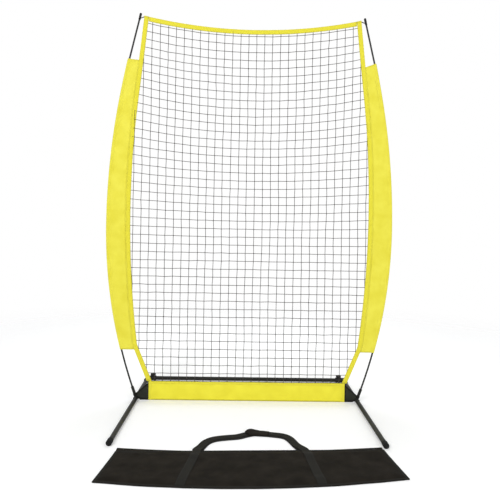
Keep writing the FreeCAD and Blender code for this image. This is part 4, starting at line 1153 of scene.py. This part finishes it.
# %% Ties at the pole tips
TIE_DROP, TIE_WIDTH = 0.027, 0.009
EYE_Z = TIP_Z - TIE_DROP - TIE_WIDTH
EYE_RADIUS = 0.0049
corner = top_corner(WEB, WEB)
for name, side in BOTH.items():
    eye_low = in_net(side * pole_x(EYE_Z), EYE_Z)
    up_pole = Vector((-side * (pole_x(2.0) - pole_x(2.1)) / 0.1, 0, 1)).normalized()
    ring_piece(f"tie_eye_{name}", eye_low, up_pole, EYE_RADIUS, LOOP_WALL, TIE_WIDTH, f"tip_tie_{name}")
    root_z = corner[1] - 0.009
    ends = (
        (in_net(side * edge_x(root_z, WEB - 0.003), root_z), eye_low + up_pole * 0.003),
        (in_net(side * (corner[0] - 0.003), corner[1] - 0.003), eye_low + up_pole * 0.008),
    )
    rails = [[a.lerp(b, t) for t in spread(0, 1, 9)] for a, b in ends]
    strip_piece(f"tie_strap_{name}", rails, 0.002, "black_webbing")
print("ties span", round(pole_x(TIP_Z - TIE_DROP) - corner[0], 3), "m")

# %% [markdown]
# The empty carry bag lies in front of the net, a long flat tube of black cloth, wider at its near edge. It
# was thrown down, so it is turned by two degrees. Two functions set its plan: one places a point of the bag
# in the world, the other shapes its edges. The ends are straight, the near edge bows out towards the camera
# and the rear one curls back behind the zip at both ends.

# %% Plan of the bag
BAG_TURN = math.radians(2.2)
BAG_DEPTH = 0.314
BAG_MIDDLE = Vector((0.016, NET_Y - 0.655 - BAG_DEPTH / 2, 0))
REAR = BAG_DEPTH / 2
NEAR_LEFT, NEAR_RIGHT = -0.612, 0.604
REAR_LEFT, REAR_RIGHT = -0.5765, 0.5835


def on_bag(along, back, up=0.0):
    """Point of the bag from its middle, turned with it."""
    return BAG_MIDDLE + Vector((
        along * math.cos(BAG_TURN) - back * math.sin(BAG_TURN),
        along * math.sin(BAG_TURN) + back * math.cos(BAG_TURN),
        up,
    ))


def bag_plan(u, v):
    """u runs along the bag from -1 to 1, v from the near edge to the zip, 0 to 1, and on to 2 behind it."""
    back = min(v, 1.0)
    left = NEAR_LEFT + (REAR_LEFT - NEAR_LEFT) * back
    right = NEAR_RIGHT + (REAR_RIGHT - NEAR_RIGHT) * back
    along = left + (right - left) * (u + 1) / 2
    near = -0.164 + 0.060 * u * u + 0.0022 * noise.noise((u * 5, 0.0, 2.0))
    if v > 1:
        return along, REAR + 0.0002 + (v - 1) * (0.003 + (0.044 if u < 0 else 0.033) * u * u)
    return along, near + (REAR - near) * v


print("bag", round(NEAR_RIGHT - NEAR_LEFT, 3), "m long at its near edge,", BAG_DEPTH, "m deep")

# %% [markdown]
# An empty bag isn't a slab: it is thin at its sewn edges and lies in long low folds between. Cloth simulation
# would settle it, but a bag already flat on the floor has little to settle, so three noises from long to
# short make the folds, and an ease near the edges presses them down to the thickness of the seams.

# %% Height of the bag
def bag_height(u, v):
    if v > 1:
        return 0.0030 - 0.0008 * (v - 1)
    body = 0.0075 + 0.0030 * noise.noise((u * 2.6, v * 1.7, 1.0))
    folds = 0.0030 * noise.noise((u * 7.0 + v * 1.5, v * 3.0, 6.0))
    folds += 0.0014 * noise.noise((u * 19.0 - v * 4, v * 7.0, 9.0))
    edge = eased(min((1 - abs(u)) * 14, v * 7, (1 - v) * 7))
    return 0.0042 + 0.0026 * v**8 + max(0.0, body + folds) * edge


U_REACH, V_REACH = 0.59, 0.31      # about how many metres of the bag one unit of u and of v covers


def bag_point(u, v, up=0.0):
    along, back = bag_plan(u, v)
    return on_bag(along, back, bag_height(u, v) + up)


heights = [bag_height(u, v) for u in spread(-1, 1, 40) for v in spread(0, 1, 12)]
print("bag lies", round(min(heights) * 1000, 1), "to", round(max(heights) * 1000, 1), "mm high")

# %% [markdown]
# The shell is a lower and an upper grid over the same plan, joined round the rim, so it is one closed skin
# as a real bag is. Extra rows close together behind the zip hold the sharp step down to the rear lip.

# %% Shell of the bag
bag_rows = spread(0, 1, 41) + [1.02, 1.5, 1.97, 2.0]
across, along = len(bag_rows), 141
points, uvs = [], []
for layer in ("under", "over"):
    for v in bag_rows:
        for u in spread(-1, 1, along):
            spot = bag_point(u, v)
            if layer == "under":
                spot.z = 0.0004 + 0.0010 * abs(noise.noise((u * 5, v * 3, 3.0)))
            points.append(spot)
            uvs.append((bag_plan(u, v)[0], v))
size = across * along
faces = []
for face in grid_faces(across, along):
    faces += [face[::-1], *shifted([face], size)]
rim = list(range(along)) + [row * along + along - 1 for row in range(1, across)]
rim += [(across - 1) * along + column for column in range(along - 2, -1, -1)]
rim += [row * along for row in range(across - 2, 0, -1)]
faces += [(a, b, size + b, size + a) for a, b in zip(rim, rim[1:] + rim[:1])]
bag = new_piece("bag_shell", points, faces, "bag_cloth", "bag_body", uvs, "bag")
print("bag shell has", len(faces), "faces")

# %% [markdown]
# Binding tape covers the bag's raw edges. It follows the shell's own height, so a strip along each edge,
# under half a millimetre above the cloth, lies in every fold with no fitting.

# %% Tapes of the bag
TAPE_UP = 0.0004      # how far a tape's middle lies above the cloth


def edge_tape(name, path, width, thickness=0.0016):
    """Tape along an edge of the bag: path gives (u, v, u inwards, v inwards)."""
    near = [bag_point(u, v, TAPE_UP) for u, v, du, dv in path]
    far = [bag_point(u + du * width / U_REACH, v + dv * width / V_REACH, TAPE_UP) for u, v, du, dv in path]
    strip_piece(f"bag_tape_{name}", (near, far), thickness, "black_webbing", None, 0.0003, "bag")


edge_tape("near", [(u, 0.0, 0, 1) for u in spread(-0.998, 0.998, 110)], 0.009, 0.0022)
edge_tape("rear", [(u, 1.0, 0, -1) for u in spread(-0.998, 0.998, 110)], 0.010)
edge_tape("left", [(-1.0, v, 1, 0) for v in spread(0.0, 1.0, 36)], 0.013)
edge_tape("right", [(1.0, v, -1, 0) for v in spread(0.0, 1.0, 36)], 0.013)
print("four tapes on the bag")

# %% [markdown]
# A coil zip closes the rear edge. Its coil shows as a row of fine turns, one every 2.2 mm, alternately a
# little higher and lower. One small rounded tooth is written out and repeated along the edge. An Array
# modifier would do the same, but here the row must follow the turned bag, and the loop is as short.

# %% Coil of the zip
ZIP_HALF, PITCH = 1.110 / 2, 0.0022
TOOTH = ((0.0, 0.0), (0.0021, 0.0003), (0.0024, 0.0010), (0.0021, 0.0017), (0.0, 0.0020))
TOOTH_FACES = [(k, k + 1, k + 6, k + 5) for k in range(4)] + [(4, 3, 2, 1, 0), (5, 6, 7, 8, 9), (4, 0, 5, 9)]
points, faces = [], []
for tooth in range(int(2 * ZIP_HALF / PITCH)):
    x = PITCH * (tooth + 0.5) - ZIP_HALF
    low = 0.0053 if tooth % 2 else 0.0059
    faces += shifted(TOOTH_FACES, len(points))
    for dx in (-PITCH * 0.36, PITCH * 0.36):
        points += [on_bag(x + dx, REAR + dy, low + dz) for dy, dz in TOOTH]
new_piece("zip_teeth", points, faces, "zip_coil", "bag_zip", body="bag", smooth=False)
print(len(points) // 10, "turns of coil over", 2 * ZIP_HALF, "m")

# %% [markdown]
# The bag has two webbing handles, one each side of the zip. They were dropped behind the bag and lie as one
# loose loop. A strap's path needs to be smooth through a few chosen points, and a Catmull-Rom curve passes
# through every one of them, where a Bezier curve would need two more handles for each.

# %% Helpers for the handles
STRAP = 0.038


def smooth_path(corners, steps=10):
    """Catmull-Rom curve through the corners."""
    path = []
    padded = [corners[0]] + list(corners) + [corners[-1]]
    for k in range(1, len(padded) - 2):
        a, b, c, d = padded[k - 1 : k + 3]
        for t in (step / steps for step in range(steps)):
            cubic = 3 * b - a - 3 * c + d
            path.append(0.5 * (2 * b + (c - a) * t + (2 * a - 5 * b + 4 * c - d) * t**2 + cubic * t**3))
    return path + [corners[-1]]


def flat_strap(name, path, node):
    """Webbing that lies on its flat along a path."""
    left, right = [], []
    for index, spot in enumerate(path):
        ahead = path[min(index + 1, len(path) - 1)] - path[max(index - 1, 0)]
        side = Vector((ahead.y, -ahead.x, 0)).normalized()
        tilt = Vector((0, 0, 0.0003 * noise.noise((index * 0.13, 3.0, 1.0))))
        left.append(spot - side * STRAP / 2 + tilt)
        right.append(spot + side * STRAP / 2 - tilt)
    strap = strip_piece(name, (left, right), 0.0016, "black_webbing", node, 0.0002, "bag")
    path_length(path)
    print(name, "is", round(path_length(path), 3), "m long")


# %% [markdown]
# Both straps share the loop's middle line, given as distances along the bag and back from its zip. The
# lower strap comes out from under the rear edge. It lies a centimetre inside the line, and the upper one as
# much outside it, so the pair shows as one broad, slightly fanned band, as the photographed handle does.

# %% Lower handle
LOOP = [
    (-0.212, 0.052), (-0.192, 0.098), (-0.158, 0.130), (-0.108, 0.146), (-0.052, 0.157), (-0.012, 0.179),
    (0.022, 0.194), (0.062, 0.190), (0.102, 0.182), (0.160, 0.162), (0.186, 0.128), (0.206, 0.060),
]


def loop_points(shift, up):
    return [on_bag(x, REAR + y + shift, up) for x, y in LOOP]


out, back = (on_bag(x, REAR + 0.006, 0.0021) for x in (-0.223, 0.224))
lower = [out] + loop_points(-0.009, 0.0021) + [back]
flat_strap("handle_lower", smooth_path(lower), "bag_handle_lower")

# %% [markdown]
# The upper strap is sewn right across the bag at two places, slightly aslant, and only its middle is free.
# Its sewn ends take their height from the bag itself. Then it steps down over the zip and joins the loop.

# %% Upper handle
def sewn_run(end):
    """One end of the upper handle, from the near edge over the bag and down behind the zip."""
    rear_x, near_x = (-0.236, -0.272) if end < 0 else (0.238, 0.252)
    run = [bag_point((near_x + (rear_x - near_x) * v) / U_REACH, v, 0.0011) for v in spread(0.03, 0.93, 9)]
    return run + [on_bag(end * 0.231, REAR + 0.008, 0.0098), on_bag(end * 0.224, REAR + 0.030, 0.0064)]


upper = sewn_run(-1) + loop_points(0.009, 0.0040) + sewn_run(1)[::-1]
flat_strap("handle_upper", smooth_path(upper, 8), "bag_handle_upper")

# %% [markdown]
# A padded cloth wrap holds the two straps together where the hand goes. It is a flattened tube: a section
# between an ellipse and a rectangle, made by raising sine and cosine to a power below one, carried along
# the loop. It swells in its middle, and the edge of its closing flap stands up near the left end.

# %% Grip wrap
TURNS, STATIONS = 26, 19
WRAP_WIDE, WRAP_HIGH = 0.0245, 0.0058
middle = [spot for spot in smooth_path(loop_points(0.0, 0.0), 12) if -0.005 < spot.x < 0.1]


def squared(value, power):
    return math.copysign(abs(value) ** power, value)


points, uvs = [], []
for t in spread(0, 1, STATIONS):
    k = min(int(t * (len(middle) - 1)), len(middle) - 2)
    centre = middle[k].lerp(middle[k + 1], t * (len(middle) - 1) - k)
    ahead = (middle[k + 1] - middle[k]).normalized()
    swell = 1.0 - 0.14 * abs(2 * t - 1) ** 3
    for turn in range(TURNS):
        angle = 2 * math.pi * turn / TURNS
        wide = squared(math.cos(angle), 0.7)
        high = WRAP_HIGH * swell * squared(math.sin(angle), 0.8)
        ridge = 0.0007 * noise.noise((t * 9, angle * 2, 2.0))
        flap = 0.010 * math.exp(-(((t - 0.22) / 0.22) ** 2)) * max(0.0, wide)
        spot = centre + Vector((-ahead.y, ahead.x, 0)) * (WRAP_WIDE * wide * swell)
        spot.z = max(0.0004, 0.0062 + high * 1.1 + ridge + flap)
        points.append(spot)
        uvs.append((t * 0.075, turn / TURNS))
wrap = new_piece("grip_wrap", points, tube_faces(STATIONS, TURNS), "bag_cloth", "handle_wrap", uvs, "bag")
print("wrap", round((middle[-1] - middle[0]).length, 3), "m long")

# %% [markdown]
# Last, the sizes. Dressing must not change how big the object is, so the CAD's box from the start and the
# finished model's box are written side by side.

# %% Sizes and the end
low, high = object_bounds()
print("visual box", rounded((*low, *high)))
